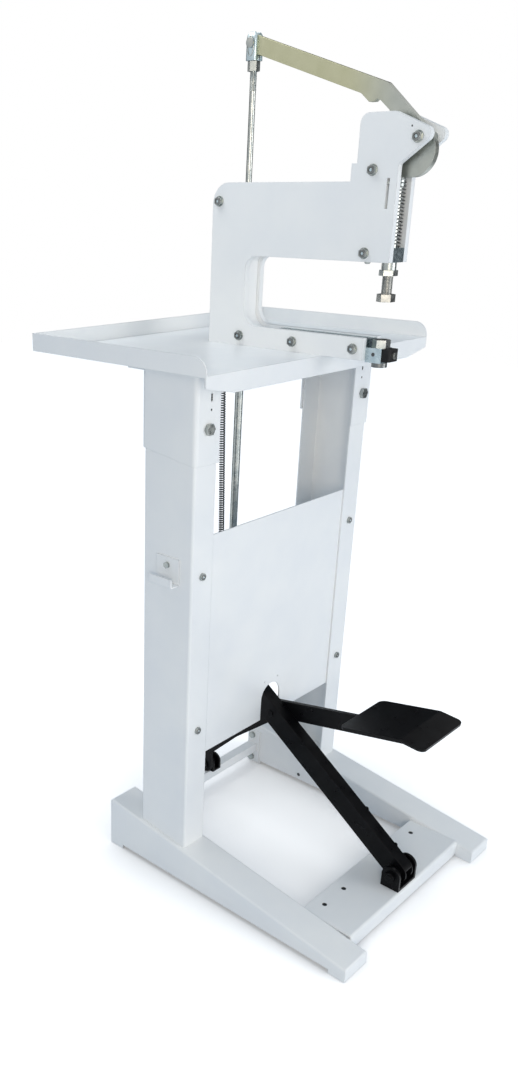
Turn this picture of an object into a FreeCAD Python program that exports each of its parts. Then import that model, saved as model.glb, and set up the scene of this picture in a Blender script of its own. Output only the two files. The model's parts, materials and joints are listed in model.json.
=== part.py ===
import FreeCAD, Part
import math
import os

import Sketcher

# Foot-operated eyelet machine, in millimetres.
# The origin is on the floor under the middle of the machine, the front looks along -Y, and +Z is up.
# A pedal lever on the right of a drive bar pulls a rod down through the table; the rod swings the
# top lever about the nose of the C-frame, and a lobe under that lever pushes the ram down.

SIZES = {
    # Stock and clearances that many pieces share
    "sheet": 3.0,
    "running": 0.05,
    "hole_play": 0.5,
    "seat_gap": 0.3,
    "overrun": 2.0,
    # Lines that pieces of several groups share
    "rod_y": 139.0,
    "ram_y": -132.0,
    "tray_top_z": 941.0,
    # Hexagon fasteners: thread radius, width across flats, head and nut heights
    "m6_radius": 3.0,
    "m6_flats": 10.0,
    "m6_head": 4.0,
    "m6_nut": 5.0,
    "m8_radius": 4.0,
    "m8_flats": 13.0,
    "m8_head": 5.3,
    "m8_nut": 6.5,
    "m10_radius": 5.0,
    "m10_flats": 17.0,
    "m10_head": 6.4,
    "m10_nut": 8.0,
    # Feet: open-bottomed wedges of folded sheet
    "foot_inner_x": 184.0,
    "foot_width": 66.0,
    "foot_half_length": 270.0,
    "foot_centre_y": -59.0,
    "foot_rear_height": 100.0,
    "foot_front_height": 24.0,
    "foot_bend": 4.0,
    "foot_tab": 32.0,
    "foot_relief": 8.0,
    "foot_hole_radius": 4.0,
    "foot_hole_y": 74.0,
    "foot_hole_z": 19.0,
    # Front cross plate with four floor-fixing holes
    "cross_plate_front_y": -297.0,
    "cross_plate_depth": 101.0,
    "cross_plate_top_z": 34.0,
    "cross_plate_lip": 29.0,
    "cross_plate_bend": 5.0,
    "floor_hole_y": -218.0,
    "floor_hole_inner_x": 87.0,
    "floor_hole_outer_x": 147.0,
    "floor_hole_radius": 4.5,
    # Rear cross bar: square tube between two bolted end plates
    "rear_bar_front_y": 188.0,
    "rear_bar_side": 20.0,
    "rear_bar_wall": 2.0,
    "rear_bar_low_z": 31.0,
    "end_plate_thickness": 4.0,
    "end_plate_depth": 30.0,
    "end_plate_low_z": 5.0,
    "end_plate_height": 75.0,
    "end_bolt_inset_y": 12.0,
    "end_bolt_inset_z": 10.0,
    # Posts: channels that open inward
    "post_outer_x": 242.0,
    "post_flange": 51.0,
    "post_front_y": 28.0,
    "post_depth": 108.0,
    "post_top_z": 925.0,
    "post_bend": 5.0,
    # Sleeves that carry the table and slide over the posts
    "sleeve_flange_lap": 3.0,
    "sleeve_front_low_z": 786.0,
    "sleeve_slant": 17.0,
    "sleeve_bolt_x": 216.0,
    "sleeve_bolt_z": 843.0,
    "height_travel": 60.0,
    "sleeve_mark_x": 210.0,
    "sleeve_slot_z": 891.0,
    "sleeve_slot_height": 12.0,
    "sleeve_slot_width": 4.0,
    "sleeve_hole_z": 872.0,
    "sleeve_hole_radius": 2.0,
    # Front panel behind the posts' front flanges
    "panel_half_width": 235.0,
    "panel_low_z": 256.0,
    "panel_high_z": 665.0,
    "panel_thickness": 2.0,
    "panel_slot_radius": 28.0,
    "panel_slot_z": 298.0,
    "panel_hole_x": 20.0,
    "panel_hole_z": 334.0,
    "panel_hole_radius": 1.5,
    "panel_screw_low_z": 312.0,
    "panel_screw_high_z": 600.0,
    "panel_screw_head_radius": 6.5,
    "panel_screw_head": 3.5,
    # Tool hook on the left post
    "hook_front_y": 54.0,
    "hook_length": 50.0,
    "hook_low_z": 583.0,
    "hook_height": 46.0,
    "hook_reach": 22.0,
    "hook_lip": 16.0,
    "hook_bend": 4.0,
    # Tray with walls at the left, rear and right, and a turned-down lip in front
    "tray_half_width": 305.0,
    "tray_front_y": -43.0,
    "tray_rear_y": 329.0,
    "tray_wall": 25.0,
    "tray_wall_round": 24.0,
    "tray_lip": 30.0,
    "tray_lip_corner_x": 63.0,
    "tray_lip_corner_z": 12.0,
    "rod_slot_half": 12.0,
    "rod_slot_front_y": 126.0,
    "rod_slot_rear_y": 191.0,
    "tray_screw_x": 208.0,
    "tray_screw_front_y": 56.0,
    "tray_screw_rear_y": 106.0,
    "tray_screw_head_radius": 5.0,
    "tray_screw_head": 1.5,
    # Cross beam and brackets under the tray
    "beam_depth": 101.0,
    "beam_drop": 25.0,
    "bracket_width": 23.0,
    "bracket_length": 84.0,
    "bracket_drop": 27.0,
    # C-frame: two side plates
    "plate_thickness": 10.0,
    "plate_gap": 30.0,
    "frame_rear_y": 191.0,
    "frame_top_z": 1192.0,
    "frame_rear_round": 32.0,
    "head_step_y": -69.0,
    "head_step_rise": 24.0,
    "head_rear_y": -78.0,
    "head_top_z": 1281.0,
    "head_top_front_y": -133.0,
    "head_rear_round": 14.0,
    "head_top_round": 10.0,
    "nose_tip_y": -201.0,
    "nose_tip_z": 1254.0,
    "nose_round": 10.0,
    "head_front_y": -146.0,
    "head_front_top_z": 1214.0,
    "head_front_round": 4.0,
    "upper_arm_z": 1083.0,
    "throat_y": 118.0,
    "throat_top_round": 20.0,
    "throat_low_round": 28.0,
    "lower_arm_z": 974.0,
    "lower_arm_front_y": -115.0,
    "web_recess": 5.0,
    "web_thickness": 3.0,
    "web_lower_front_y": 62.0,
    "web_upper_front_y": -95.0,
    # Through bolts of the C-frame
    "rear_bolt_y": 177.5,
    "rear_bolt_z": 1164.0,
    "head_bolt_y": -105.0,
    "head_bolt_z": 1207.0,
    "guide_bolt_y": -103.0,
    "guide_bolt_z": 1095.0,
    "low_bolt_rear_y": 125.0,
    "low_bolt_middle_y": 16.0,
    "low_bolt_front_y": -98.0,
    "low_bolt_z": 957.0,
    "spacer_radius": 6.4,
    # Screws that hold the side plates down on the tray and the cross beam
    "head_screw_front_y": 41.0,
    "head_screw_rear_y": 101.0,
    "head_screw_depth": 10.0,
    # Pivot of the top lever in the nose, and its lever
    "pivot_y": -172.0,
    "pivot_z": 1248.0,
    "lever_spacer_radius": 8.0,
    "lever_thickness": 10.0,
    "lever_half_depth": 12.0,
    "lever_disc_y": -156.0,
    "lever_disc_z": 1230.0,
    "lever_disc_radius": 33.0,
    "lever_knee_y": -104.0,
    "lever_knee_z": 1319.0,
    "lever_lobe_round": 12.0,
    "lever_throat_z": 1240.0,
    "lever_heel_y": -111.0,
    "lever_heel_z": 1284.0,
    "lever_crook_y": -95.0,
    "lever_crook_z": 1297.0,
    "lever_notch_y": -89.0,
    "lever_notch_z": 1299.5,
    "lever_lug_front_y": -85.0,
    "lever_lug_rear_y": -76.0,
    "lever_lug_z": 1296.0,
    "lever_belly_y": -62.0,
    "lever_belly_z": 1307.6,
    "lever_round": 10.0,
    # Fork head and rods
    "fork_pin_z": 1387.0,
    "fork_pin_radius": 5.0,
    "fork_side": 20.0,
    "fork_rise": 15.0,
    "fork_drop": 24.0,
    "fork_slot_depth": 17.0,
    "fork_play": 0.4,
    "fork_nut_height": 14.0,
    "rod_radius": 5.0,
    "rod_low_z": 780.0,
    "tube_radius": 7.0,
    "tube_bore": 6.0,
    "tube_top_z": 920.0,
    "tube_nut_height": 10.0,
    "tube_nut_flats": 19.0,
    # Guide block, ram and its tools
    "guide_low_z": 1083.0,
    "guide_height": 20.0,
    "guide_half_depth": 13.8,
    "ram_radius": 9.0,
    "ram_cap_radius": 12.0,
    "ram_cap_low_z": 1184.0,
    "ram_top_z": 1196.7,
    "ram_collar_radius": 11.0,
    "ram_low_z": 1072.0,
    "ram_pin_z": 1190.0,
    "ram_pin_radius": 2.0,
    "guide_slot_low_z": 1156.0,
    "guide_slot_high_z": 1196.0,
    "punch_stem_radius": 7.5,
    "punch_stem_low_z": 1038.0,
    "punch_head_low_z": 1027.0,
    "punch_flats": 24.0,
    "ram_nut_height": 8.0,
    "ram_spring_radius": 10.6,
    "ram_spring_wire": 2.6,
    # Anvil side
    "anvil_low_z": 942.0,
    "anvil_rear_y": 61.0,
    "anvil_top_recess": 2.0,
    "clamp_front_y": -142.5,
    "clamp_low_z": 938.0,
    "clamp_height": 22.0,
    "clamp_slit": 2.5,
    "die_stem_radius": 8.0,
    "die_bore_radius": 5.0,
    "die_flange_radius": 12.0,
    "die_flange_height": 7.0,
    "die_nut_height": 12.0,
    "die_nut_flats": 24.0,
    "stop_depth": 13.0,
    "stop_half_width": 13.0,
    "stop_low_z": 941.0,
    "stop_height": 18.5,
    "stop_round": 3.0,
    "stop_screw_radius": 3.0,
    "stop_screw_head_radius": 5.0,
    "stop_screw_head": 3.0,
    # Front clevis and the drive bar that swings in it
    "clevis_y": -276.0,
    "clevis_z": 60.0,
    "clevis_half_width": 30.0,
    "clevis_wall": 5.0,
    "clevis_round": 18.0,
    "clevis_bolt_x": 19.0,
    "big_pin_radius": 6.0,
    "big_pin_flats": 18.0,
    "bar_half_width": 12.5,
    "bar_half_depth": 20.0,
    "bar_wall": 2.5,
    "bar_length": 508.6,
    "bar_overhang": 20.0,
    "cross_pin_along": 361.7,
    "cross_pin_collar_radius": 8.5,
    "cross_pin_collar": 2.0,
    # Clevis at the foot of the tube, on the rear end of the drive bar
    "rod_clevis_wall": 4.0,
    "rod_clevis_half_depth": 14.0,
    "rod_clevis_bridge_z": 30.0,
    "rod_clevis_bridge": 8.0,
    "rod_pin_radius": 5.0,
    "spring_stud_radius": 2.5,
    "spring_stud": 11.0,
    # Pedal lever: one plate from the pedal to the rear pivot
    "pedal_arm_gap": 0.5,
    "pedal_arm_thickness": 8.0,
    "pedal_arm_half_depth": 18.0,
    "pedal_arm_reach": 299.0,
    "gusset_reach": 88.0,
    "gusset_top_reach": 66.0,
    "pedal_belly_y": 118.0,
    "pedal_belly_z": 166.0,
    "pedal_heel_y": 183.0,
    "pedal_heel_z": 99.0,
    "pedal_shoulder_y": 208.0,
    "pedal_shoulder_z": 114.0,
    "pedal_waist_y": 138.0,
    "pedal_waist_z": 190.0,
    "rear_pivot_y": 197.0,
    "rear_pivot_z": 68.0,
    "rear_end_radius": 16.0,
    "arm_front_round": 10.0,
    "gusset_round": 12.0,
    "cam_play": 0.45,
    # Pedal plate
    "pedal_centre_x": 17.0,
    "pedal_half_width": 69.0,
    "pedal_thickness": 5.0,
    "pedal_rear_reach": 182.0,
    "pedal_bend_reach": 300.0,
    "pedal_front_length": 43.0,
    "pedal_corner_round": 12.0,
    # Bracket of the pedal lever on the rear cross bar
    "rear_ear_x": 22.0,
    "rear_ear_outer_x": 46.0,
    "rear_ear_wall": 5.0,
    "rear_ear_base": 4.0,
    "rear_pin_head": 3.0,
    "rear_pin_head_radius": 9.0,
    # Return spring from the cross beam down to the rod pin
    "return_spring_x": -47.0,
    "return_spring_z": 904.0,
    "return_spring_radius": 4.2,
    "return_spring_wire": 2.6,
    "return_spring_pitch": 4.6,
    "return_spring_top_shank": 26.0,
    "spring_bracket_wall": 4.0,
    "spring_bracket_half_depth": 12.0,
}

# Slopes at rest and the pedal's swing, in degrees
ANGLES = {
    "lever_angle": 18.4,
    "lever_cheek_angle": 49.0,
    "bar_angle": 35.3,
    "pedal_angle": 10.9,
    "pedal_bend_angle": 16.0,
    "pedal_travel_angle": 11.0,
}

# Shares of the length or angle that each one follows
SHARES = {
    "bar_travel_share": 0.852,
    "hook_bolt_share": 0.7,
}

# Turns of the two springs
COUNTS = {
    "ram_spring_turns": 6,
    "return_spring_turns": 80,
}

FIT_TOLERANCE = 0.001
HALF_SHARE = 0.5
HEXAGON_SIDES = 6

document = FreeCAD.newDocument("EyeletMachine")
sheet = document.addObject("Spreadsheet::Sheet", "Sizes")
sub_parts = []


class Size:
    """A length or an angle: its value, and the formula that ties it to the sheet."""

    def __init__(self, value, formula):
        self.value = float(value)
        self.formula = formula

    def __add__(self, other):
        other = as_size(other)
        return Size(self.value + other.value, "(%s + %s)" % (self.formula, other.formula))

    def __sub__(self, other):
        other = as_size(other)
        return Size(self.value - other.value, "(%s - %s)" % (self.formula, other.formula))

    def __mul__(self, other):
        other = as_size(other)
        return Size(self.value * other.value, "(%s * %s)" % (self.formula, other.formula))

    def __truediv__(self, other):
        other = as_size(other)
        return Size(self.value / other.value, "(%s / %s)" % (self.formula, other.formula))

    def __neg__(self):
        return Size(-self.value, "(0 - %s)" % self.formula)

    def __radd__(self, other):
        return as_size(other) + self

    def __rmul__(self, other):
        return as_size(other) * self


def as_size(number):
    """Turns a plain number into a Size, and leaves a Size alone."""
    if isinstance(number, Size):
        return number
    return Size(number, repr(float(number)))


def cosine(angle):
    return Size(math.cos(math.radians(angle.value)), "cos(%s)" % angle.formula)


def sine(angle):
    return Size(math.sin(math.radians(angle.value)), "sin(%s)" % angle.formula)


def tangent(angle):
    return Size(math.tan(math.radians(angle.value)), "tan(%s)" % angle.formula)


def root(number):
    return Size(math.sqrt(number.value), "sqrt(%s)" % number.formula)


class Sizes:
    """Every cell of the sheet as a Size, under the cell's alias."""


d = Sizes()
for row, (alias, number) in enumerate({**SIZES, **ANGLES, **SHARES, **COUNTS}.items(), start=1):
    sheet.set("A%d" % row, alias)
    sheet.set("B%d" % row, str(number))
    sheet.setAlias("B%d" % row, alias)
    setattr(d, alias, Size(number, "Sizes.%s" % alias))
document.recompute()


# Building blocks

AXES = {"XY_Plane": (0, 1), "XZ_Plane": (0, 2), "YZ_Plane": (1, 2)}
PRISM_TURNS = {
    "X": FreeCAD.Rotation(FreeCAD.Vector(0, 1, 0), 90),
    "Y": FreeCAD.Rotation(FreeCAD.Vector(1, 0, 0), -90),
    "Z": FreeCAD.Rotation(),
}


def publish(piece, label):
    """Names a finished sub-part and lists it for writing."""
    piece.Label = label
    sub_parts.append(piece)
    return piece


def new_body(label):
    body = document.addObject("PartDesign::Body", "Body_" + label)
    return publish(body, label)


def circle(across, up, radius):
    """A round loop of an outline."""
    return ("circle", as_size(across), as_size(up), radius)


def rectangle(low_across, high_across, low_up, high_up):
    """A four-cornered loop of an outline."""
    return [(low_across, low_up), (high_across, low_up), (high_across, high_up), (low_across, high_up)]


def tie(sketch, kind, geometry, point, size):
    """Holds one coordinate of a point of the sketch to its formula."""
    index = sketch.addConstraint(Sketcher.Constraint(kind, -1, 1, geometry, point, size.value))
    sketch.setExpression("Constraints[%d]" % index, size.formula)


def draw(sketch, loop):
    """Draws one loop, every corner or centre of it tied to the sheet."""
    if loop[0] == "circle":
        across, up, radius = loop[1:]
        centre = FreeCAD.Vector(across.value, up.value, 0)
        number = sketch.addGeometry(Part.Circle(centre, FreeCAD.Vector(0, 0, 1), radius.value), False)
        tie(sketch, "DistanceX", number, 3, across)
        tie(sketch, "DistanceY", number, 3, up)
        index = sketch.addConstraint(Sketcher.Constraint("Radius", number, radius.value))
        sketch.setExpression("Constraints[%d]" % index, radius.formula)
        return
    corners = [(as_size(across), as_size(up)) for across, up in loop]
    points = [FreeCAD.Vector(across.value, up.value, 0) for across, up in corners]
    lines = [Part.LineSegment(points[i - 1], points[i]) for i in range(len(points))]
    numbers = sketch.addGeometry(lines, False)
    for i, number in enumerate(numbers):
        sketch.addConstraint(Sketcher.Constraint("Coincident", numbers[i - 1], 2, number, 1))
    for number, (across, up) in zip(numbers, corners):
        tie(sketch, "DistanceX", number, 2, across)
        tie(sketch, "DistanceY", number, 2, up)


def sketch_at(body, role, height):
    """An empty sketch on one of the body's own planes, lifted to a height along its normal."""
    sketch = body.newObject("Sketcher::SketchObject", "Sketch")
    plane = [feature for feature in body.Origin.OriginFeatures if feature.Role == role][0]
    sketch.AttachmentSupport = [(plane, "")]
    sketch.MapMode = "FlatFace"
    sketch.setExpression("AttachmentOffset.Base.z", height.formula)
    return sketch


def stock(body, role, loops, low, high):
    """Material of the given outline from low to high across the plane."""
    low, high = as_size(low), as_size(high)
    start = -high if role == "XZ_Plane" else low
    sketch = sketch_at(body, role, start)
    for loop in loops:
        draw(sketch, loop)
    pad = body.newObject("PartDesign::Pad", "Pad")
    pad.Profile = sketch
    pad.setExpression("Length", (high - low).formula)
    document.recompute()
    return pad


def cutout(body, role, loops, low, high):
    """Removes the outline from low to high, and makes sure that it did."""
    low, high = as_size(low), as_size(high)
    before = body.Shape.Volume
    start = -low if role == "XZ_Plane" else high
    sketch = sketch_at(body, role, start)
    for loop in loops:
        draw(sketch, loop)
    finish_pocket(body, sketch, high - low, before)


def finish_pocket(body, sketch, depth, before):
    pocket = body.newObject("PartDesign::Pocket", "Pocket")
    pocket.Profile = sketch
    pocket.setExpression("Length", depth.formula)
    document.recompute()
    if body.Shape.Volume >= before:
        raise RuntimeError("a pocket of %s cuts nothing" % body.Label)


def round_names(body, names, radius):
    if not names:
        raise RuntimeError("no edge to round on %s" % body.Label)
    base = body.Tip
    fillet = body.newObject("PartDesign::Fillet", "Fillet")
    fillet.Base = (base, names)
    fillet.setExpression("Radius", radius.formula)
    document.recompute()


def near(a, b):
    return abs(a - b) < FIT_TOLERANCE


def round_corners(body, role, corners, radius):
    """Rounds the straight edges that stand on the given corners of an outline."""
    across, up = AXES[role]
    names = []
    for number, edge in enumerate(body.Tip.Shape.Edges, start=1):
        ends = [vertex.Point for vertex in edge.Vertexes]
        for corner in corners:
            places = [as_size(corner[0]).value, as_size(corner[1]).value]
            if len(ends) == 2 and all(near(e[across], places[0]) and near(e[up], places[1]) for e in ends):
                names.append("Edge%d" % number)
    round_names(body, names, radius)


def round_edges(body, edges, radius):
    """Rounds the edges given by their two end points."""
    names = []
    for number, edge in enumerate(body.Tip.Shape.Edges, start=1):
        ends = [vertex.Point for vertex in edge.Vertexes]
        for start, end in edges:
            wanted = [FreeCAD.Vector(*[as_size(place).value for place in point]) for point in (start, end)]
            if len(ends) == 2 and matches(ends, wanted):
                names.append("Edge%d" % number)
    round_names(body, names, radius)


def matches(ends, wanted):
    straight = all(a.distanceToPoint(b) < FIT_TOLERANCE for a, b in zip(ends, wanted))
    crossed = all(a.distanceToPoint(b) < FIT_TOLERANCE for a, b in zip(ends, wanted[::-1]))
    return straight or crossed


def place(piece, spot):
    """Ties a primitive's position to the sheet."""
    for name, size in zip("xyz", spot):
        piece.setExpression(".Placement.Base.%s" % name, as_size(size).formula)


def spot_on(axis, low, at):
    """The point at height low along an axis that passes through the other two coordinates."""
    first, second = at
    return {"X": (low, first, second), "Y": (first, low, second), "Z": (first, second, low)}[axis]


def rod(axis, at, low, high, radius):
    """A round bar along an axis, from low to high."""
    low, high = as_size(low), as_size(high)
    bar = document.addObject("Part::Cylinder", "Cylinder")
    bar.Placement = FreeCAD.Placement(FreeCAD.Vector(), PRISM_TURNS[axis])
    bar.setExpression("Radius", radius.formula)
    bar.setExpression("Height", (high - low).formula)
    place(bar, spot_on(axis, low, at))
    return bar


def hexagon(axis, at, low, high, flats):
    """A hexagon bar along an axis, from low to high."""
    low, high = as_size(low), as_size(high)
    bar = document.addObject("Part::Prism", "Prism")
    bar.Placement = FreeCAD.Placement(FreeCAD.Vector(), PRISM_TURNS[axis])
    bar.Polygon = HEXAGON_SIDES
    bar.setExpression("Circumradius", (flats / root(as_size(3))).formula)
    bar.setExpression("Height", (high - low).formula)
    place(bar, spot_on(axis, low, at))
    return bar


def block(low, high):
    """A box between two opposite corners."""
    low = [as_size(place_) for place_ in low]
    high = [as_size(place_) for place_ in high]
    box = document.addObject("Part::Box", "Box")
    for name, start, end in zip(("Length", "Width", "Height"), low, high):
        box.setExpression(name, (end - start).formula)
    place(box, low)
    return box


def fused(pieces):
    whole = document.addObject("Part::MultiFuse", "Fusion")
    whole.Shapes = pieces
    whole.Refine = True
    return whole


def without(base, tool):
    rest = document.addObject("Part::Cut", "Cut")
    rest.Base = base
    rest.Tool = tool
    return rest


def group(pieces, label):
    """Like fasteners as separate solids of one sub-part."""
    whole = document.addObject("Part::Compound", "Compound")
    whole.Links = pieces
    return publish(whole, label)


def bolt(axis, at, low, high, thread, head_low=True):
    """A hexagon bolt and its nut that grip from low to high."""
    names = ("radius", "flats", "head", "nut")
    radius, flats, head, nut = [getattr(d, "%s_%s" % (thread, name)) for name in names]
    low, high = as_size(low), as_size(high)
    if head_low:
        below, above = head, nut
    else:
        below, above = nut, head
    return fused([
        hexagon(axis, at, low - below, low, flats),
        rod(axis, at, low - below, high + above, radius),
        hexagon(axis, at, high, high + above, flats),
    ])


def wire_solid(points_and_tangents, radius):
    """A tube along biarcs through the given points, each with its tangent."""
    edges = []
    pairs = zip(points_and_tangents, points_and_tangents[1:])
    for (start, start_way), (end, end_way) in pairs:
        edges += biarc(start, start_way, end, end_way)
    path = Part.Wire(edges)
    first, way = points_and_tangents[0]
    ring = Part.Wire([Part.Circle(first, way, radius).toShape()])
    shell = Part.BRepOffsetAPI.MakePipeShell(path)
    shell.add(ring)
    shell.build()
    shell.makeSolid()
    return shell.shape()


def biarc(start, start_way, end, end_way):
    """Two arcs, or one straight line, that leave and arrive along the given tangents."""
    chord = end - start
    if chord.cross(start_way).Length < FIT_TOLERANCE * chord.Length:
        return [Part.LineSegment(start, end).toShape()]
    ways = start_way + end_way
    bend = 2 * (1 - start_way.dot(end_way))
    along = chord.dot(ways)
    reach = (-along + math.sqrt(along ** 2 + 2 * bend * chord.dot(chord) / 2)) / bend
    first = start + start_way * reach
    second = end - end_way * reach
    joint = (first + second) * HALF_SHARE
    return [tangent_arc(start, first, joint), tangent_arc(joint, second, end)]


def tangent_arc(start, corner, end):
    """The arc that touches the lines from its corner at start and end."""
    middle = (start + end) * HALF_SHARE
    half = (end - start).Length / 2
    rise = corner - middle
    sweep = math.atan2(rise.Length, half)
    crown = middle + rise * (half * math.tan(sweep / 2) / rise.Length)
    return Part.Arc(start, crown, end).toShape()


def helix(radius, pitch, turns, low):
    """Points and tangents of a helix about Z, every quarter turn."""
    places = []
    for quarter in range(4 * turns + 1):
        angle = quarter * math.pi / 2
        height = low + pitch * quarter / 4
        point = FreeCAD.Vector(radius * math.cos(angle), radius * math.sin(angle), height)
        way = FreeCAD.Vector(-radius * math.sin(angle), radius * math.cos(angle), pitch / (2 * math.pi))
        places.append((point, way.normalize()))
    return places


def print_gap(label, places, pitch, wire):
    """Prints the least gap of a tube to itself, measured on its points."""
    least = pitch
    for i, (point, _) in enumerate(places):
        for other, _ in places[i + 4:]:
            least = min(least, point.distanceToPoint(other))
    print("%s: least gap to itself %.2f mm" % (label, least - wire))


# Stand

def foot_end(side):
    """The front end of the feet for side -1, and the rear end for side 1."""
    return d.foot_centre_y + d.foot_half_length * side


def foot_height(y):
    """Height of the sloping top of a foot."""
    rise = (d.foot_rear_height - d.foot_front_height) / (d.foot_half_length * 2)
    return d.foot_front_height + (y - foot_end(-1)) * rise


def foot(label, low_x, inner_x):
    body = new_body(label)
    high_x = low_x + d.foot_width
    front_y, rear_y = foot_end(-1), foot_end(1)
    front_tab, rear_tab = front_y + d.foot_tab, rear_y - d.foot_tab
    outline = [
        (front_y, 0), (front_tab, 0), (front_tab, d.foot_relief), (rear_tab, d.foot_relief), (rear_tab, 0),
        (rear_y, 0), (rear_y, d.foot_rear_height), (front_y, d.foot_front_height),
    ]
    stock(body, "YZ_Plane", [outline], low_x, high_x)
    front = [(x, front_y, d.foot_front_height) for x in (low_x, high_x)]
    rear = [(x, rear_y, d.foot_rear_height) for x in (low_x, high_x)]
    edges = [(front[0], rear[0]), (front[1], rear[1]), (front[0], front[1]), (rear[0], rear[1])]
    round_edges(body, edges, d.foot_bend)
    front_in, rear_in = front_y + d.sheet, rear_y - d.sheet
    hollow = [
        (front_in, -d.overrun), (rear_in, -d.overrun),
        (rear_in, foot_height(rear_in) - d.sheet), (front_in, foot_height(front_in) - d.sheet),
    ]
    cutout(body, "YZ_Plane", [hollow], low_x + d.sheet, high_x - d.sheet)
    bolt_y = foot_end(1) - d.end_bolt_inset_y
    play = d.m8_radius + d.hole_play
    plate_top = d.end_plate_low_z + d.end_plate_height
    heights = (d.end_plate_low_z + d.end_bolt_inset_z, plate_top - d.end_bolt_inset_z)
    holes = [circle(bolt_y, z, play) for z in heights]
    holes.append(circle(d.foot_hole_y, d.foot_hole_z, d.foot_hole_radius))
    cutout(body, "YZ_Plane", holes, inner_x - d.sheet - d.overrun, inner_x + d.sheet + d.overrun)


foot("left_foot", -d.foot_inner_x - d.foot_width, -d.foot_inner_x)
foot("right_foot", d.foot_inner_x, d.foot_inner_x)


def front_cross_plate():
    body = new_body("front_cross_plate")
    front = d.cross_plate_front_y
    rear = front + d.cross_plate_depth
    top = d.cross_plate_top_z
    low = top - d.cross_plate_lip
    outline = [
        (front, low), (front + d.sheet, low), (front + d.sheet, top - d.sheet),
        (rear, top - d.sheet), (rear, top), (front, top),
    ]
    stock(body, "YZ_Plane", [outline], -d.foot_inner_x, d.foot_inner_x)
    round_corners(body, "YZ_Plane", [(front, top)], d.cross_plate_bend)
    round_corners(body, "YZ_Plane", [(front + d.sheet, top - d.sheet)], d.cross_plate_bend - d.sheet)
    inner, outer = d.floor_hole_inner_x, d.floor_hole_outer_x
    holes = [circle(x, d.floor_hole_y, d.floor_hole_radius) for x in (-outer, -inner, inner, outer)]
    holes += [circle(x, d.clevis_y, d.m6_radius + d.hole_play) for x in (-d.clevis_bolt_x, d.clevis_bolt_x)]
    cutout(body, "XY_Plane", holes, top - d.sheet - d.overrun, top + d.overrun)


front_cross_plate()


def rear_cross_bar():
    body = new_body("rear_cross_bar")
    front, low = d.rear_bar_front_y, d.rear_bar_low_z
    rear, high = front + d.rear_bar_side, low + d.rear_bar_side
    wall = d.rear_bar_wall
    tube_x = d.foot_inner_x - d.end_plate_thickness
    tube = rectangle(front, rear, low, high)
    bore = rectangle(front + wall, rear - wall, low + wall, high - wall)
    stock(body, "YZ_Plane", [tube, bore], -tube_x, tube_x)
    plate_rear = foot_end(1)
    plate_low = d.end_plate_low_z
    plate_high = plate_low + d.end_plate_height
    plate = rectangle(plate_rear - d.end_plate_depth, plate_rear, plate_low, plate_high)
    bolt_y = plate_rear - d.end_bolt_inset_y
    play = d.m8_radius + d.hole_play
    heights = (plate_low + d.end_bolt_inset_z, plate_high - d.end_bolt_inset_z)
    holes = [circle(bolt_y, z, play) for z in heights]
    stock(body, "YZ_Plane", [plate] + holes, -d.foot_inner_x, -tube_x)
    stock(body, "YZ_Plane", [plate] + holes, tube_x, d.foot_inner_x)


rear_cross_bar()


def cross_bar_bolts():
    bolt_y = foot_end(1) - d.end_bolt_inset_y
    low = d.end_plate_low_z + d.end_bolt_inset_z
    high = d.end_plate_low_z + d.end_plate_height - d.end_bolt_inset_z
    inner = d.foot_inner_x - d.end_plate_thickness
    outer = d.foot_inner_x + d.sheet
    bolts = [bolt("X", (bolt_y, z), inner, outer, "m8") for z in (low, high)]
    bolts += [bolt("X", (bolt_y, z), -outer, -inner, "m8", head_low=False) for z in (low, high)]
    group(bolts, "cross_bar_bolts")


cross_bar_bolts()


def channel(outer, flange_edge, front, rear, wall, side):
    """Plan of a channel that opens toward the middle; side is 1 on the right and -1 on the left."""
    return [
        (outer * side, front), (outer * side, rear), (flange_edge * side, rear),
        (flange_edge * side, rear - wall), ((outer - wall) * side, rear - wall),
        ((outer - wall) * side, front + wall), (flange_edge * side, front + wall),
        (flange_edge * side, front),
    ]


def post(label, side):
    body = new_body(label)
    front, rear = d.post_front_y, d.post_front_y + d.post_depth
    edge = d.post_outer_x - d.post_flange
    low = foot_height(front) - d.foot_bend
    stock(body, "XY_Plane", [channel(d.post_outer_x, edge, front, rear, d.sheet, side)], low, d.post_top_z)
    bends = [(d.post_outer_x * side, front), (d.post_outer_x * side, rear)]
    round_corners(body, "XY_Plane", bends, d.post_bend)
    inside = d.post_outer_x - d.sheet
    inner_bends = [(inside * side, front + d.sheet), (inside * side, rear - d.sheet)]
    round_corners(body, "XY_Plane", inner_bends, d.post_bend - d.sheet)
    below = [
        (front - d.overrun, low - d.overrun), (rear + d.overrun, low - d.overrun),
        (rear + d.overrun, foot_height(rear + d.overrun)),
        (front - d.overrun, foot_height(front - d.overrun)),
    ]
    cutout(body, "YZ_Plane", [below], -d.foot_inner_x - d.foot_width, d.foot_inner_x + d.foot_width)
    bolt_x = d.sleeve_bolt_x * side
    play = d.m10_radius + d.hole_play
    top = d.sleeve_bolt_z + d.height_travel
    lane = rectangle(bolt_x - play, bolt_x + play, d.sleeve_bolt_z - play, top + play)
    cutout(body, "XZ_Plane", [lane], front - d.overrun, front + d.sheet + d.overrun)
    screw = d.m6_radius + d.hole_play
    holes = [circle(bolt_x, z, screw) for z in (d.panel_screw_low_z, d.panel_screw_high_z)]
    cutout(body, "XZ_Plane", holes, front - d.overrun, front + d.sheet + d.overrun)
    if side < 0:
        hook = [circle(d.hook_front_y + d.hook_length / 2, hook_bolt_z(), screw)]
        cutout(body, "YZ_Plane", hook, -d.post_outer_x - d.overrun, -inside + d.overrun)


def hook_bolt_z():
    return d.hook_low_z + d.hook_height * d.hook_bolt_share


post("left_post", -1)
post("right_post", 1)


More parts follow.
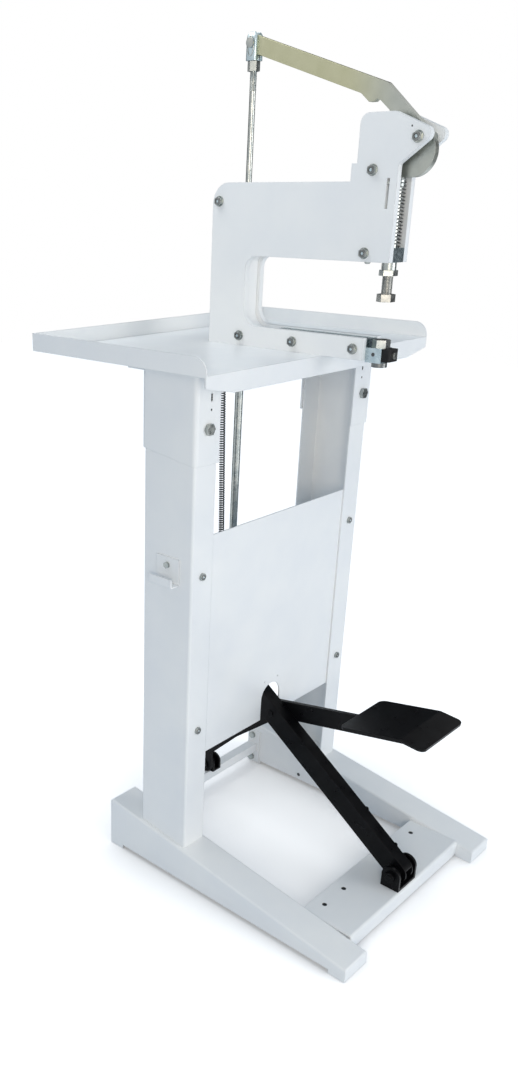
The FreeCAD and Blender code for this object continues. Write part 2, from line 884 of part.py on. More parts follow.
def front_panel():
    body = new_body("front_panel")
    front = d.post_front_y + d.sheet
    half = d.panel_half_width
    face = rectangle(-half, half, d.panel_low_z, d.panel_high_z)
    stock(body, "XZ_Plane", [face], front, front + d.panel_thickness)
    slot = d.panel_slot_radius
    low = d.panel_low_z - d.overrun
    rear = front + d.panel_thickness + d.overrun
    cutout(body, "XZ_Plane", [circle(0, d.panel_slot_z, slot)], front - d.overrun, rear)
    cutout(body, "XZ_Plane", [rectangle(-slot, slot, low, d.panel_slot_z)], front - d.overrun, rear)
    holes = [circle(x, d.panel_hole_z, d.panel_hole_radius) for x in (-d.panel_hole_x, d.panel_hole_x)]
    play = d.m6_radius + d.hole_play
    for z in (d.panel_screw_low_z, d.panel_screw_high_z):
        holes += [circle(x, z, play) for x in (-d.sleeve_bolt_x, d.sleeve_bolt_x)]
    cutout(body, "XZ_Plane", holes, front - d.overrun, rear)


front_panel()


def panel_screws():
    front = d.post_front_y
    grip = front + d.sheet + d.panel_thickness
    screws = []
    for x in (-d.sleeve_bolt_x, d.sleeve_bolt_x):
        for z in (d.panel_screw_low_z, d.panel_screw_high_z):
            screws.append(fused([
                rod("Y", (x, z), front - d.panel_screw_head, front, d.panel_screw_head_radius),
                rod("Y", (x, z), front - d.panel_screw_head, grip + d.m6_nut, d.m6_radius),
                hexagon("Y", (x, z), grip, grip + d.m6_nut, d.m6_flats),
            ]))
    group(screws, "panel_screws")


panel_screws()


def tool_hook():
    body = new_body("tool_hook")
    wall = d.sheet
    back = -d.post_outer_x
    low, high = d.hook_low_z, d.hook_low_z + d.hook_height
    tip = back - d.hook_reach
    outline = [
        (back, low), (back, high), (back - wall, high), (back - wall, low + wall),
        (tip + wall, low + wall), (tip + wall, low + d.hook_lip), (tip, low + d.hook_lip), (tip, low),
    ]
    stock(body, "XZ_Plane", [outline], d.hook_front_y, d.hook_front_y + d.hook_length)
    round_corners(body, "XZ_Plane", [(tip, low), (back, low)], d.hook_bend)
    hole = [circle(d.hook_front_y + d.hook_length / 2, hook_bolt_z(), d.m6_radius + d.hole_play)]
    cutout(body, "YZ_Plane", hole, back - wall - d.overrun, back + d.overrun)


tool_hook()


def hook_bolt():
    at = (d.hook_front_y + d.hook_length / 2, hook_bolt_z())
    publish(bolt("X", at, -d.post_outer_x - d.sheet, -d.post_outer_x + d.sheet, "m6"), "hook_bolt")


hook_bolt()


# Table

def tray_low_z():
    return d.tray_top_z - d.sheet


def sleeve_front_y():
    return d.post_front_y - d.seat_gap - d.sheet


def sleeve(label, side):
    body = new_body(label)
    outer = d.post_outer_x + d.seat_gap + d.sheet
    edge = d.post_outer_x - d.post_flange - d.sleeve_flange_lap
    front = sleeve_front_y()
    rear = d.post_front_y + d.post_depth + d.seat_gap + d.sheet
    low, top = d.sleeve_front_low_z, tray_low_z()
    stock(body, "XY_Plane", [channel(outer, edge, front, rear, d.sheet, side)], low, top)
    bends = [(outer * side, front), (outer * side, rear)]
    round_corners(body, "XY_Plane", bends, d.post_bend + d.sheet)
    inside = outer - d.sheet
    inner_bends = [(inside * side, front + d.sheet), (inside * side, rear - d.sheet)]
    round_corners(body, "XY_Plane", inner_bends, d.post_bend)
    lid_front = front + d.sheet + d.post_bend
    lid = rectangle(edge * side, (inside - d.post_bend) * side, lid_front, rear - d.sheet)
    holes = [circle(d.tray_screw_x * side, y, d.m6_radius + d.hole_play) for y in screw_rows()]
    stock(body, "XY_Plane", [lid] + holes, top - d.sheet, top)
    slant = [(front - d.overrun, low - d.overrun), (rear + d.overrun, low - d.overrun),
             (rear + d.overrun, low + d.sleeve_slant), (front - d.overrun, low)]
    cutout(body, "YZ_Plane", [slant], -outer - d.overrun, outer + d.overrun)
    marks = [circle(d.sleeve_bolt_x * side, d.sleeve_bolt_z, d.m10_radius + d.hole_play)]
    marks.append(circle(d.sleeve_mark_x * side, d.sleeve_hole_z, d.sleeve_hole_radius))
    half = d.sleeve_slot_width / 2
    middle = d.sleeve_mark_x * side
    marks.append(rectangle(middle - half, middle + half, d.sleeve_slot_z - d.sleeve_slot_height / 2,
                           d.sleeve_slot_z + d.sleeve_slot_height / 2))
    cutout(body, "XZ_Plane", marks, front - d.overrun, front + d.sheet + d.overrun)


def screw_rows():
    return (d.tray_screw_front_y, d.tray_screw_rear_y)


sleeve("left_sleeve", -1)
sleeve("right_sleeve", 1)


def sleeve_bolts():
    grip = d.post_front_y + d.sheet + d.seat_gap
    xs = (-d.sleeve_bolt_x, d.sleeve_bolt_x)
    group([bolt("Y", (x, d.sleeve_bolt_z), sleeve_front_y(), grip, "m10") for x in xs], "sleeve_bolts")


sleeve_bolts()


def tray():
    body = new_body("tray")
    half, front, rear = d.tray_half_width, d.tray_front_y, d.tray_rear_y
    low, top, wall = tray_low_z(), d.tray_top_z, d.sheet
    stock(body, "XY_Plane", [rectangle(-half, half, front, rear)], low, top)
    rim = [
        (-half, front), (-half, rear), (half, rear), (half, front), (half - wall, front),
        (half - wall, rear - wall), (-half + wall, rear - wall), (-half + wall, front),
    ]
    high = top + d.tray_wall
    stock(body, "XY_Plane", [rim], top, high)
    round_corners(body, "YZ_Plane", [(front, high)], d.tray_wall_round)
    lip_low = top - d.tray_lip
    corner_x = half - d.tray_lip_corner_x
    corner_z = lip_low + d.tray_lip_corner_z
    lip = [
        (-half, low), (-half, corner_z), (-corner_x, lip_low),
        (corner_x, lip_low), (half, corner_z), (half, low),
    ]
    stock(body, "XZ_Plane", [lip], front, front + wall)
    slot = rectangle(-d.rod_slot_half, d.rod_slot_half, d.rod_slot_front_y, d.rod_slot_rear_y)
    play = d.m6_radius + d.hole_play
    holes = [circle(x, y, play) for x in head_screw_columns() for y in head_screw_rows()]
    for x in (-d.tray_screw_x, d.tray_screw_x):
        holes += [circle(x, y, d.m6_radius + d.hole_play) for y in screw_rows()]
    cutout(body, "XY_Plane", [slot] + holes, low - d.overrun, top + d.overrun)


def head_screw_columns():
    middle = (d.plate_gap + d.plate_thickness) / 2
    return (-middle, middle)


def head_screw_rows():
    return (d.head_screw_front_y, d.head_screw_rear_y)


tray()


def tray_screws():
    top = d.tray_top_z
    low = tray_low_z() - d.sheet
    screws = []
    for x in (-d.tray_screw_x, d.tray_screw_x):
        for y in screw_rows():
            screws.append(fused([
                rod("Z", (x, y), top, top + d.tray_screw_head, d.tray_screw_head_radius),
                rod("Z", (x, y), low - d.m6_nut, top + d.tray_screw_head, d.m6_radius),
                hexagon("Z", (x, y), low - d.m6_nut, low, d.m6_flats),
            ]))
    group(screws, "tray_screws")


tray_screws()


def cross_beam():
    body = new_body("cross_beam")
    end = d.post_outer_x - d.post_flange - d.sleeve_flange_lap
    front = sleeve_front_y()
    rear = front + d.beam_depth
    top = tray_low_z()
    low = top - d.beam_drop
    outline = [
        (front, low), (front, top), (rear, top), (rear, low), (rear - d.sheet, low),
        (rear - d.sheet, top - d.sheet), (front + d.sheet, top - d.sheet), (front + d.sheet, low),
    ]
    stock(body, "YZ_Plane", [outline], -end, end)
    play = d.m6_radius + d.hole_play
    holes = [circle(x, y, play) for x in head_screw_columns() for y in head_screw_rows()]
    cutout(body, "XY_Plane", holes, top - d.sheet - d.overrun, top + d.overrun)


cross_beam()


def tray_bracket(label, side):
    body = new_body(label)
    rear = d.post_front_y + d.post_depth + d.seat_gap + d.sheet
    edge = d.post_outer_x - d.post_flange - d.sleeve_flange_lap
    top = tray_low_z()
    outline = [
        (edge * side, top), ((edge + d.bracket_width) * side, top),
        ((edge + d.bracket_width) * side, top - d.sheet), ((edge + d.sheet) * side, top - d.sheet),
        ((edge + d.sheet) * side, top - d.bracket_drop), (edge * side, top - d.bracket_drop),
    ]
    stock(body, "XZ_Plane", [outline], rear, rear + d.bracket_length)


tray_bracket("left_tray_bracket", -1)
tray_bracket("right_tray_bracket", 1)


# Head

def plate_inner_x():
    return d.plate_gap / 2


def plate_outer_x():
    return d.plate_gap / 2 + d.plate_thickness


def side_plate(label, low_x, high_x):
    body = new_body(label)
    rear_top = (d.frame_rear_y, d.frame_top_z)
    head_rear = (d.head_rear_y, d.head_top_z)
    head_top = (d.head_top_front_y, d.head_top_z)
    nose = (d.nose_tip_y, d.nose_tip_z)
    chin = (d.head_front_y, d.head_front_top_z)
    throat_top = (d.throat_y, d.upper_arm_z)
    throat_low = (d.throat_y, d.lower_arm_z)
    step_z = d.frame_top_z + d.head_step_rise
    outline = [
        (d.frame_rear_y, d.tray_top_z), rear_top, (d.head_step_y, d.frame_top_z),
        (d.head_step_y, step_z), (d.head_rear_y, step_z), head_rear, head_top, nose, chin,
        (d.head_front_y, d.upper_arm_z),
        throat_top, throat_low, (d.lower_arm_front_y, d.lower_arm_z), (d.lower_arm_front_y, d.tray_top_z),
    ]
    stock(body, "YZ_Plane", [outline], low_x, high_x)
    round_corners(body, "YZ_Plane", [rear_top], d.frame_rear_round)
    round_corners(body, "YZ_Plane", [head_rear], d.head_rear_round)
    round_corners(body, "YZ_Plane", [head_top], d.head_top_round)
    round_corners(body, "YZ_Plane", [nose], d.nose_round)
    round_corners(body, "YZ_Plane", [chin], d.head_front_round)
    round_corners(body, "YZ_Plane", [throat_top], d.throat_top_round)
    round_corners(body, "YZ_Plane", [throat_low], d.throat_low_round)
    holes = [circle(y, z, d.m8_radius + d.running) for y, z in through_bolt_places()]
    holes.append(circle(d.pivot_y, d.pivot_z, d.m8_radius + d.running))
    pin = d.ram_pin_radius + d.running
    holes.append(rectangle(d.ram_y - pin, d.ram_y + pin, d.guide_slot_low_z, d.guide_slot_high_z))
    cutout(body, "YZ_Plane", holes, low_x - d.overrun, high_x + d.overrun)
    middle = (low_x + high_x) / 2
    taps = [circle(middle, y, d.m6_radius + d.running) for y in head_screw_rows()]
    cutout(body, "XY_Plane", taps, d.tray_top_z - d.overrun, d.tray_top_z + d.head_screw_depth + d.overrun)


def spacer_places():
    return [
        (d.rear_bolt_y, d.rear_bolt_z), (d.head_bolt_y, d.head_bolt_z),
        (d.guide_bolt_y, d.guide_bolt_z), (d.low_bolt_rear_y, d.low_bolt_z),
    ]


def through_bolt_places():
    return spacer_places() + [(d.low_bolt_middle_y, d.low_bolt_z), (d.low_bolt_front_y, d.low_bolt_z)]


side_plate("left_side_plate", -plate_outer_x(), -plate_inner_x())
side_plate("right_side_plate", plate_inner_x(), plate_outer_x())


def frame_fasteners():
    inner, outer = plate_inner_x(), plate_outer_x()
    group([bolt("X", at, -outer, outer, "m8") for at in through_bolt_places()], "frame_bolts")
    bore = d.m8_radius + d.running
    spacers = []
    for at in spacer_places():
        hole = rod("X", at, -inner - d.overrun, inner + d.overrun, bore)
        spacers.append(without(rod("X", at, -inner, inner, d.spacer_radius), hole))
    group(spacers, "frame_spacers")
    publish(bolt("X", (d.pivot_y, d.pivot_z), -outer, outer, "m8"), "pivot_bolt")
    lever_face = d.lever_thickness / 2 + d.seat_gap
    at = (d.pivot_y, d.pivot_z)
    rings = []
    for low, high in ((-inner, -lever_face), (lever_face, inner)):
        hole = rod("X", at, low - d.overrun, high + d.overrun, d.m8_radius + d.running)
        rings.append(without(rod("X", at, low, high, d.lever_spacer_radius), hole))
    group(rings, "lever_spacers")
    low = tray_low_z() - d.sheet
    top = d.tray_top_z + d.head_screw_depth
    screws = []
    for x in head_screw_columns():
        for y in head_screw_rows():
            head = hexagon("Z", (x, y), low - d.m6_head, low, d.m6_flats)
            screws.append(fused([head, rod("Z", (x, y), low - d.m6_head, top, d.m6_radius)]))
    group(screws, "head_screws")


frame_fasteners()


def throat_web():
    body = new_body("throat_web")
    low = d.lower_arm_z - d.web_recess
    high = d.upper_arm_z + d.web_recess
    back = d.throat_y + d.web_recess
    wall = d.web_thickness
    outline = [
        (d.web_lower_front_y, low), (back, low), (back, high), (d.web_upper_front_y, high),
        (d.web_upper_front_y, high + wall), (back + wall, high + wall),
        (back + wall, low - wall), (d.web_lower_front_y, low - wall),
    ]
    stock(body, "YZ_Plane", [outline], -plate_inner_x(), plate_inner_x())
    round_corners(body, "YZ_Plane", [(back, high)], d.throat_top_round)
    round_corners(body, "YZ_Plane", [(back, low)], d.throat_low_round)
    round_corners(body, "YZ_Plane", [(back + wall, high + wall)], d.throat_top_round + wall)
    round_corners(body, "YZ_Plane", [(back + wall, low - wall)], d.throat_low_round + wall)


throat_web()


def guide_block():
    body = new_body("guide_block")
    low, high = d.guide_low_z, d.guide_low_z + d.guide_height
    half, depth = plate_inner_x(), d.guide_half_depth
    plan = rectangle(-half, half, d.ram_y - depth, d.ram_y + depth)
    stock(body, "XY_Plane", [plan, circle(0, d.ram_y, d.ram_radius + d.running)], low, high)


guide_block()


def anvil():
    inner = plate_inner_x()
    body = new_body("anvil_bar")
    top = d.lower_arm_z - d.anvil_top_recess
    side = rectangle(d.lower_arm_front_y, d.anvil_rear_y, d.anvil_low_z, top)
    play = d.m8_radius + d.running
    holes = [circle(y, d.low_bolt_z, play) for y in (d.low_bolt_middle_y, d.low_bolt_front_y)]
    stock(body, "YZ_Plane", [side] + holes, -inner, inner)

    body = new_body("die_clamp")
    plan = rectangle(-inner, inner, d.clamp_front_y, d.lower_arm_front_y)
    low, high = d.clamp_low_z, d.clamp_low_z + d.clamp_height
    stock(body, "XY_Plane", [plan, circle(0, d.ram_y, d.die_stem_radius + d.running)], low, high)
    half = d.clamp_slit / 2
    slit = rectangle(-half, half, d.clamp_front_y - d.overrun, d.ram_y)
    cutout(body, "XY_Plane", [slit], low - d.overrun, high + d.overrun)

    body = new_body("die_bush")
    stem_top = high + d.die_nut_height
    stock(body, "XY_Plane", [circle(0, d.ram_y, d.die_flange_radius)], low - d.die_flange_height, low)
    stock(body, "XY_Plane", [circle(0, d.ram_y, d.die_stem_radius)], low, stem_top)
    bore = [circle(0, d.ram_y, d.die_bore_radius)]
    cutout(body, "XY_Plane", bore, low - d.die_flange_height - d.overrun, stem_top + d.overrun)

    nut = hexagon("Z", (0, d.ram_y), high, stem_top, d.die_nut_flats)
    hole = rod("Z", (0, d.ram_y), high - d.overrun, stem_top + d.overrun, d.die_stem_radius + d.running)
    publish(without(nut, hole), "die_nut")

    body = new_body("stop_block")
    front = d.clamp_front_y - d.stop_depth
    half = d.stop_half_width
    plan = rectangle(-half, half, front, d.clamp_front_y)
    stock(body, "XY_Plane", [plan], d.stop_low_z, d.stop_low_z + d.stop_height)
    round_corners(body, "XY_Plane", [(-half, front), (half, front)], d.stop_round)
    z = d.stop_low_z + d.stop_height / 2
    hole = [circle(0, z, d.stop_screw_radius + d.running)]
    cutout(body, "XZ_Plane", hole, front - d.overrun, d.clamp_front_y + d.overrun)
    head = rod("Y", (0, z), front - d.stop_screw_head, front, d.stop_screw_head_radius)
    shank = rod("Y", (0, z), front - d.stop_screw_head, d.clamp_front_y, d.stop_screw_radius)
    publish(fused([head, shank]), "stop_screw")


anvil()


# Ram

def ram():
    body = new_body("ram")
    stock(body, "XY_Plane", [circle(0, d.ram_y, d.ram_radius)], d.ram_low_z, d.ram_cap_low_z)
    stock(body, "XY_Plane", [circle(0, d.ram_y, d.ram_cap_radius)], d.ram_cap_low_z, d.ram_top_z)
    collar_top = d.guide_low_z - d.seat_gap
    stock(body, "XY_Plane", [circle(0, d.ram_y, d.ram_collar_radius)], d.ram_low_z, collar_top)
    hole = [circle(d.ram_y, d.ram_pin_z, d.ram_pin_radius + d.running)]
    cutout(body, "YZ_Plane", hole, -plate_inner_x(), plate_inner_x())
    reach = plate_outer_x()
    publish(rod("X", (d.ram_y, d.ram_pin_z), -reach, reach, d.ram_pin_radius), "ram_guide_pin")

    at = (0, d.ram_y)
    head = hexagon("Z", at, d.punch_head_low_z, d.punch_stem_low_z, d.punch_flats)
    stem = rod("Z", at, d.punch_stem_low_z, d.ram_low_z, d.punch_stem_radius)
    publish(fused([head, stem]), "punch_holder")
    nut_low = d.ram_low_z - d.ram_nut_height
    nut = hexagon("Z", at, nut_low, d.ram_low_z, d.punch_flats)
    hole = rod("Z", at, nut_low - d.overrun, d.ram_low_z + d.overrun, d.punch_stem_radius + d.running)
    publish(without(nut, hole), "ram_lock_nut")


ram()


def ram_spring():
    """Open coil between the guide block and the ram cap, with straight ends."""
    wire = d.ram_spring_wire.value
    radius = d.ram_spring_radius.value
    turns = int(d.ram_spring_turns.value)
    low = d.guide_low_z.value + d.guide_height.value + d.seat_gap.value
    high = d.ram_cap_low_z.value - d.seat_gap.value
    pitch = (high - low - wire) / (turns + wire / (math.pi * radius))
    rise = pitch * wire / (2 * math.pi * radius)
    places = helix(radius, pitch, turns, wire / 2 + rise)
    first, way = places[0]
    last, last_way = places[-1]
    ends = [(first - way * wire, way), (last + last_way * wire, last_way)]
    places = [ends[0]] + places + [ends[1]]
    print_gap("ram_spring", places, pitch, wire)
    spring = document.addObject("Part::Feature", "RamSpring")
    spring.Shape = wire_solid(places, wire / 2)
    spring.Placement = FreeCAD.Placement(FreeCAD.Vector(0, d.ram_y.value, low), FreeCAD.Rotation())
    publish(spring, "ram_spring")


ram_spring()


# Top lever, fork head and rod

def rod_top():
    """The fork pin's place: the rear end of the top lever."""
    return (d.rod_y, d.fork_pin_z)


def top_lever():
    body = new_body("top_lever")
    half = d.lever_thickness / 2
    pin_y, pin_z = rod_top()
    lift_y = sine(d.lever_angle) * d.lever_half_depth
    lift_z = cosine(d.lever_angle) * d.lever_half_depth
    disc_low = d.lever_disc_z - d.lever_disc_radius
    cheek_y = d.lever_disc_y - d.lever_disc_radius * cosine(d.lever_cheek_angle)
    cheek = (cheek_y, d.lever_disc_z + d.lever_disc_radius * sine(d.lever_cheek_angle))
    lobe_y = d.ram_y + d.lever_lobe_round
    knee = (d.lever_knee_y, d.lever_knee_z)
    lobe = (lobe_y, disc_low)
    throat = (lobe_y, d.lever_throat_z)
    heel = (d.lever_heel_y, d.lever_heel_z)
    crook = (d.lever_crook_y, d.lever_crook_z)
    notch = (d.lever_notch_y, d.lever_notch_z)
    lug_front = (d.lever_lug_front_y, d.lever_lug_z)
    lug_rear = (d.lever_lug_rear_y, d.lever_lug_z)
    belly = (d.lever_belly_y, d.lever_belly_z)
    outline = [
        (pin_y - lift_y, pin_z + lift_z), knee, cheek, (d.lever_disc_y, disc_low), lobe, throat,
        heel, crook, notch, lug_front, lug_rear, belly, (pin_y + lift_y, pin_z - lift_z),
    ]
    stock(body, "YZ_Plane", [outline], -half, half)
    stock(body, "YZ_Plane", [circle(d.lever_disc_y, d.lever_disc_z, d.lever_disc_radius)], -half, half)
    stock(body, "YZ_Plane", [circle(pin_y, pin_z, d.lever_half_depth)], -half, half)
    round_corners(body, "YZ_Plane", [lobe], d.lever_lobe_round)
    round_corners(body, "YZ_Plane", [knee, belly, throat], d.lever_round)
    holes = [
        circle(d.pivot_y, d.pivot_z, d.m8_radius + d.running),
        circle(pin_y, pin_z, d.fork_pin_radius + d.running),
    ]
    cutout(body, "YZ_Plane", holes, -half - d.overrun, half + d.overrun)


top_lever()


def fork():
    body = new_body("fork_head")
    pin_y, pin_z = rod_top()
    half = d.fork_side / 2
    low, high = pin_z - d.fork_drop, pin_z + d.fork_rise
    stock(body, "XY_Plane", [rectangle(-half, half, pin_y - half, pin_y + half)], low, high)
    slot = d.lever_thickness / 2 + d.fork_play
    floor = pin_z - d.fork_slot_depth
    cutout(body, "XZ_Plane", [rectangle(-slot, slot, floor, high + d.overrun)],
           pin_y - half - d.overrun, pin_y + half + d.overrun)
    hole = [circle(pin_y, pin_z, d.fork_pin_radius + d.running)]
    cutout(body, "YZ_Plane", hole, -half - d.overrun, half + d.overrun)
    bore = [circle(0, pin_y, d.rod_radius + d.running)]
    cutout(body, "XY_Plane", bore, low - d.overrun, floor + d.overrun)

    head = rod("X", (pin_y, pin_z), -half - d.sheet, -half, d.fork_pin_radius + d.overrun)
    shank = rod("X", (pin_y, pin_z), -half, half + d.sheet, d.fork_pin_radius)
    publish(fused([head, shank]), "fork_pin")

    nut = hexagon("Z", (0, pin_y), low - d.fork_nut_height, low, d.m10_flats)
    nut_low = low - d.fork_nut_height
    hole = rod("Z", (0, pin_y), nut_low - d.overrun, low + d.overrun, d.rod_radius + d.running)
    publish(without(nut, hole), "fork_lock_nut")
    publish(rod("Z", (0, pin_y), d.rod_low_z, floor, d.rod_radius), "upper_rod")


fork()


# Drive bar in the front clevis

def bar_point(along):
    """A point on the drive bar's centreline, at a distance from the front pivot."""
    return (d.clevis_y + along * cosine(d.bar_angle), d.clevis_z + along * sine(d.bar_angle))


def front_clevis():
    body = new_body("front_clevis")
    base = d.cross_plate_top_z
    half, wall = d.clevis_half_width, d.clevis_wall
    y, z, size = d.clevis_y, d.clevis_z, d.clevis_round
    stock(body, "YZ_Plane", [rectangle(y - size, y + size, base, z)], -half, half)
    stock(body, "YZ_Plane", [circle(y, z, size)], -half, half)
    inner = half - wall
    room = rectangle(-inner, inner, base + wall, z + size + d.overrun)
    cutout(body, "XZ_Plane", [room], y - size - d.overrun, y + size + d.overrun)
    hole = [circle(y, z, d.big_pin_radius + d.running)]
    cutout(body, "YZ_Plane", hole, -half - d.overrun, half + d.overrun)
    holes = [circle(x, y, d.m6_radius + d.hole_play) for x in (-d.clevis_bolt_x, d.clevis_bolt_x)]
    cutout(body, "XY_Plane", holes, base - d.overrun, base + wall + d.overrun)

    low = base - d.sheet
    columns = (-d.clevis_bolt_x, d.clevis_bolt_x)
    group([bolt("Z", (x, y), low, base + wall, "m6", head_low=False) for x in columns], "clevis_bolts")

    at = (y, z)
    flats = d.big_pin_flats
    head = hexagon("X", at, half, half + d.m10_head, flats)
    shank = rod("X", at, -half - d.m10_nut, half + d.m10_head, d.big_pin_radius)
    nut = hexagon("X", at, -half - d.m10_head, -half, flats)
    publish(fused([head, shank, nut]), "clevis_pin")

    bar_face = d.bar_half_width + d.seat_gap
    bushes = []
    for low, high in ((-inner, -bar_face), (bar_face, inner)):
        hole = rod("X", at, low - d.overrun, high + d.overrun, d.big_pin_radius + d.running)
        bushes.append(without(rod("X", at, low, high, d.big_pin_radius + wall), hole))
    group(bushes, "clevis_bushes")


front_clevis()


def drive_bar():
    """Rectangular tube, drawn level from its front pivot and then turned to its slope."""
    body = new_body("drive_bar")
    half, deep = d.bar_half_width, d.bar_half_depth
    rear = d.bar_length + d.bar_overhang
    stock(body, "YZ_Plane", [rectangle(0, rear, -deep, deep)], -half, half)
    stock(body, "YZ_Plane", [circle(0, 0, deep)], -half, half)
    room_x, room_z = half - d.bar_wall, deep - d.bar_wall
    room = rectangle(-room_x, room_x, -room_z, room_z)
    cutout(body, "XZ_Plane", [room], -deep - d.overrun, rear + d.overrun)
    pins = [
        circle(0, 0, d.big_pin_radius + d.running),
        circle(d.cross_pin_along, 0, d.big_pin_radius + d.running),
        circle(d.bar_length, 0, d.rod_pin_radius + d.running),
    ]
    cutout(body, "YZ_Plane", pins, -half - d.overrun, half + d.overrun)
    body.Placement = FreeCAD.Placement(FreeCAD.Vector(), FreeCAD.Rotation(FreeCAD.Vector(1, 0, 0), 1))
    body.setExpression(".Placement.Rotation.Angle", d.bar_angle.formula)
    place(body, (0, d.clevis_y, d.clevis_z))


drive_bar()


def cross_pin():
    at = bar_point(d.cross_pin_along)
    arm_far = d.bar_half_width + d.pedal_arm_gap + d.pedal_arm_thickness
    low = -d.bar_half_width - d.cross_pin_collar
    far = arm_far + d.pedal_arm_gap
    collar = rod("X", at, far, far + d.cross_pin_collar, d.cross_pin_collar_radius)
    publish(fused([rod("X", at, low, far + d.cross_pin_collar, d.big_pin_radius), collar]), "cross_pin")


cross_pin()


def rod_clevis():
    body = new_body("rod_clevis")
    y, z = bar_point(d.bar_length)
    inner = d.bar_half_width + d.pedal_arm_gap
    outer = inner + d.rod_clevis_wall
    deep = d.rod_clevis_half_depth
    bridge = z + d.rod_clevis_bridge_z
    top = bridge + d.rod_clevis_bridge
    stock(body, "YZ_Plane", [rectangle(y - deep, y + deep, z, top)], -outer, outer)
    stock(body, "YZ_Plane", [circle(y, z, deep)], -outer, outer)
    room = rectangle(-inner, inner, z - deep - d.overrun, bridge)
    cutout(body, "XZ_Plane", [room], y - deep - d.overrun, y + deep + d.overrun)
    hole = [circle(y, z, d.rod_pin_radius + d.running)]
    cutout(body, "YZ_Plane", hole, -outer - d.overrun, outer + d.overrun)

    body = new_body("lower_tube")
    ring = [circle(0, d.rod_y, d.tube_radius), circle(0, d.rod_y, d.tube_bore)]
    stock(body, "XY_Plane", ring, top, d.tube_top_z)

    nut_low = d.tube_top_z - d.tube_nut_height
    nut = hexagon("Z", (0, d.rod_y), nut_low, d.tube_top_z, d.tube_nut_flats)
    hole = rod("Z", (0, d.rod_y), nut_low - d.overrun, d.tube_top_z + d.overrun, d.tube_radius + d.running)
    publish(without(nut, hole), "tube_nut")

    at = (y, z)
    head = rod("X", at, outer, outer + d.sheet, d.rod_pin_radius + d.overrun)
    shank = rod("X", at, -outer, outer + d.sheet, d.rod_pin_radius)
    stud = rod("X", at, -outer - d.spring_stud, -outer, d.spring_stud_radius)
    publish(fused([head, shank, stud]), "rod_pin")


rod_clevis()


# Pedal lever

def pedal_arm_x():
    return d.bar_half_width + d.pedal_arm_gap


def arm_point(reach, lift):
    """A point on the pedal arm: reach toward the front from the cross pin, lift across the arm."""
    y, z = bar_point(d.cross_pin_along)
    cos, sin = cosine(d.pedal_angle), sine(d.pedal_angle)
    return (y - reach * cos + lift * sin, z + reach * sin + lift * cos)


def turned(point, centre, degrees):
    """A point turned about a centre in the side view; front goes down when the angle is positive."""
    angle = math.radians(degrees)
    y, z = point[0] - centre[0], point[1] - centre[1]
    return (centre[0] + y * math.cos(angle) - z * math.sin(angle),
            centre[1] + y * math.sin(angle) + z * math.cos(angle))


def pin_path(share):
    """Where the cross pin stands in the pedal arm at a share of the pedal's travel."""
    front = (d.clevis_y.value, d.clevis_z.value)
    rear = (d.rear_pivot_y.value, d.rear_pivot_z.value)
    pin = tuple(place_.value for place_ in bar_point(d.cross_pin_along))
    travel = d.pedal_travel_angle.value * share
    moved = turned(pin, front, -travel * d.bar_travel_share.value)
    y, z = turned(moved, rear, -travel)
    return FreeCAD.Vector(y, z, 0)


def cut_cam_slot(body, low_x, high_x):
    """Curved slot in which the cross pin runs while both levers swing."""
    before = body.Shape.Volume
    places = [pin_path(share) for share in (0, HALF_SHARE, 1)]
    path = Part.Arc(*places).toShape().Curve
    half = d.big_pin_radius.value + d.cam_play.value
    centre = path.Center
    ways = [(place_ - centre).normalize() for place_ in places]
    outer = [centre + way * (path.Radius + half) for way in ways]
    inner = [centre + way * (path.Radius - half) for way in ways]
    start_way = (places[0] - places[1]).normalize()
    end_way = (places[2] - places[1]).normalize()
    sketch = sketch_at(body, "YZ_Plane", high_x + d.overrun)
    sketch.addGeometry([
        Part.ArcOfCircle(*outer), Part.ArcOfCircle(outer[2], places[2] + end_way * half, inner[2]),
        Part.ArcOfCircle(*inner), Part.ArcOfCircle(inner[0], places[0] + start_way * half, outer[0]),
    ], False)
    finish_pocket(body, sketch, high_x - low_x + d.overrun * 2, before)


def pedal_arm():
    body = new_body("pedal_arm")
    low_x = pedal_arm_x()
    high_x = low_x + d.pedal_arm_thickness
    deep = d.pedal_arm_half_depth
    end = d.rear_end_radius
    belly = (d.pedal_belly_y, d.pedal_belly_z)
    heel = (d.pedal_heel_y, d.pedal_heel_z)
    shoulder = (d.pedal_shoulder_y, d.pedal_shoulder_z)
    waist = (d.pedal_waist_y, d.pedal_waist_z)
    front_low = arm_point(d.pedal_arm_reach - d.arm_front_round, -deep)
    front_high = arm_point(d.pedal_arm_reach, deep)
    gusset_rear = arm_point(-d.gusset_reach, 0)
    gusset_top = arm_point(-d.gusset_top_reach, deep)
    outline = [
        front_high, front_low, arm_point(0, -deep), belly, heel,
        (d.rear_pivot_y - end, d.rear_pivot_z), (d.rear_pivot_y + end, d.rear_pivot_z),
        shoulder, waist, gusset_rear, gusset_top,
    ]
    stock(body, "YZ_Plane", [outline], low_x, high_x)
    stock(body, "YZ_Plane", [circle(d.rear_pivot_y, d.rear_pivot_z, end)], low_x, high_x)
    round_corners(body, "YZ_Plane", [front_low], d.arm_front_round)
    round_corners(body, "YZ_Plane", [belly, waist, gusset_rear, gusset_top, shoulder], d.gusset_round)
    hole = [circle(d.rear_pivot_y, d.rear_pivot_z, d.big_pin_radius + d.running)]
    cutout(body, "YZ_Plane", hole, low_x - d.overrun, high_x + d.overrun)
    cut_cam_slot(body, low_x, high_x)


pedal_arm()


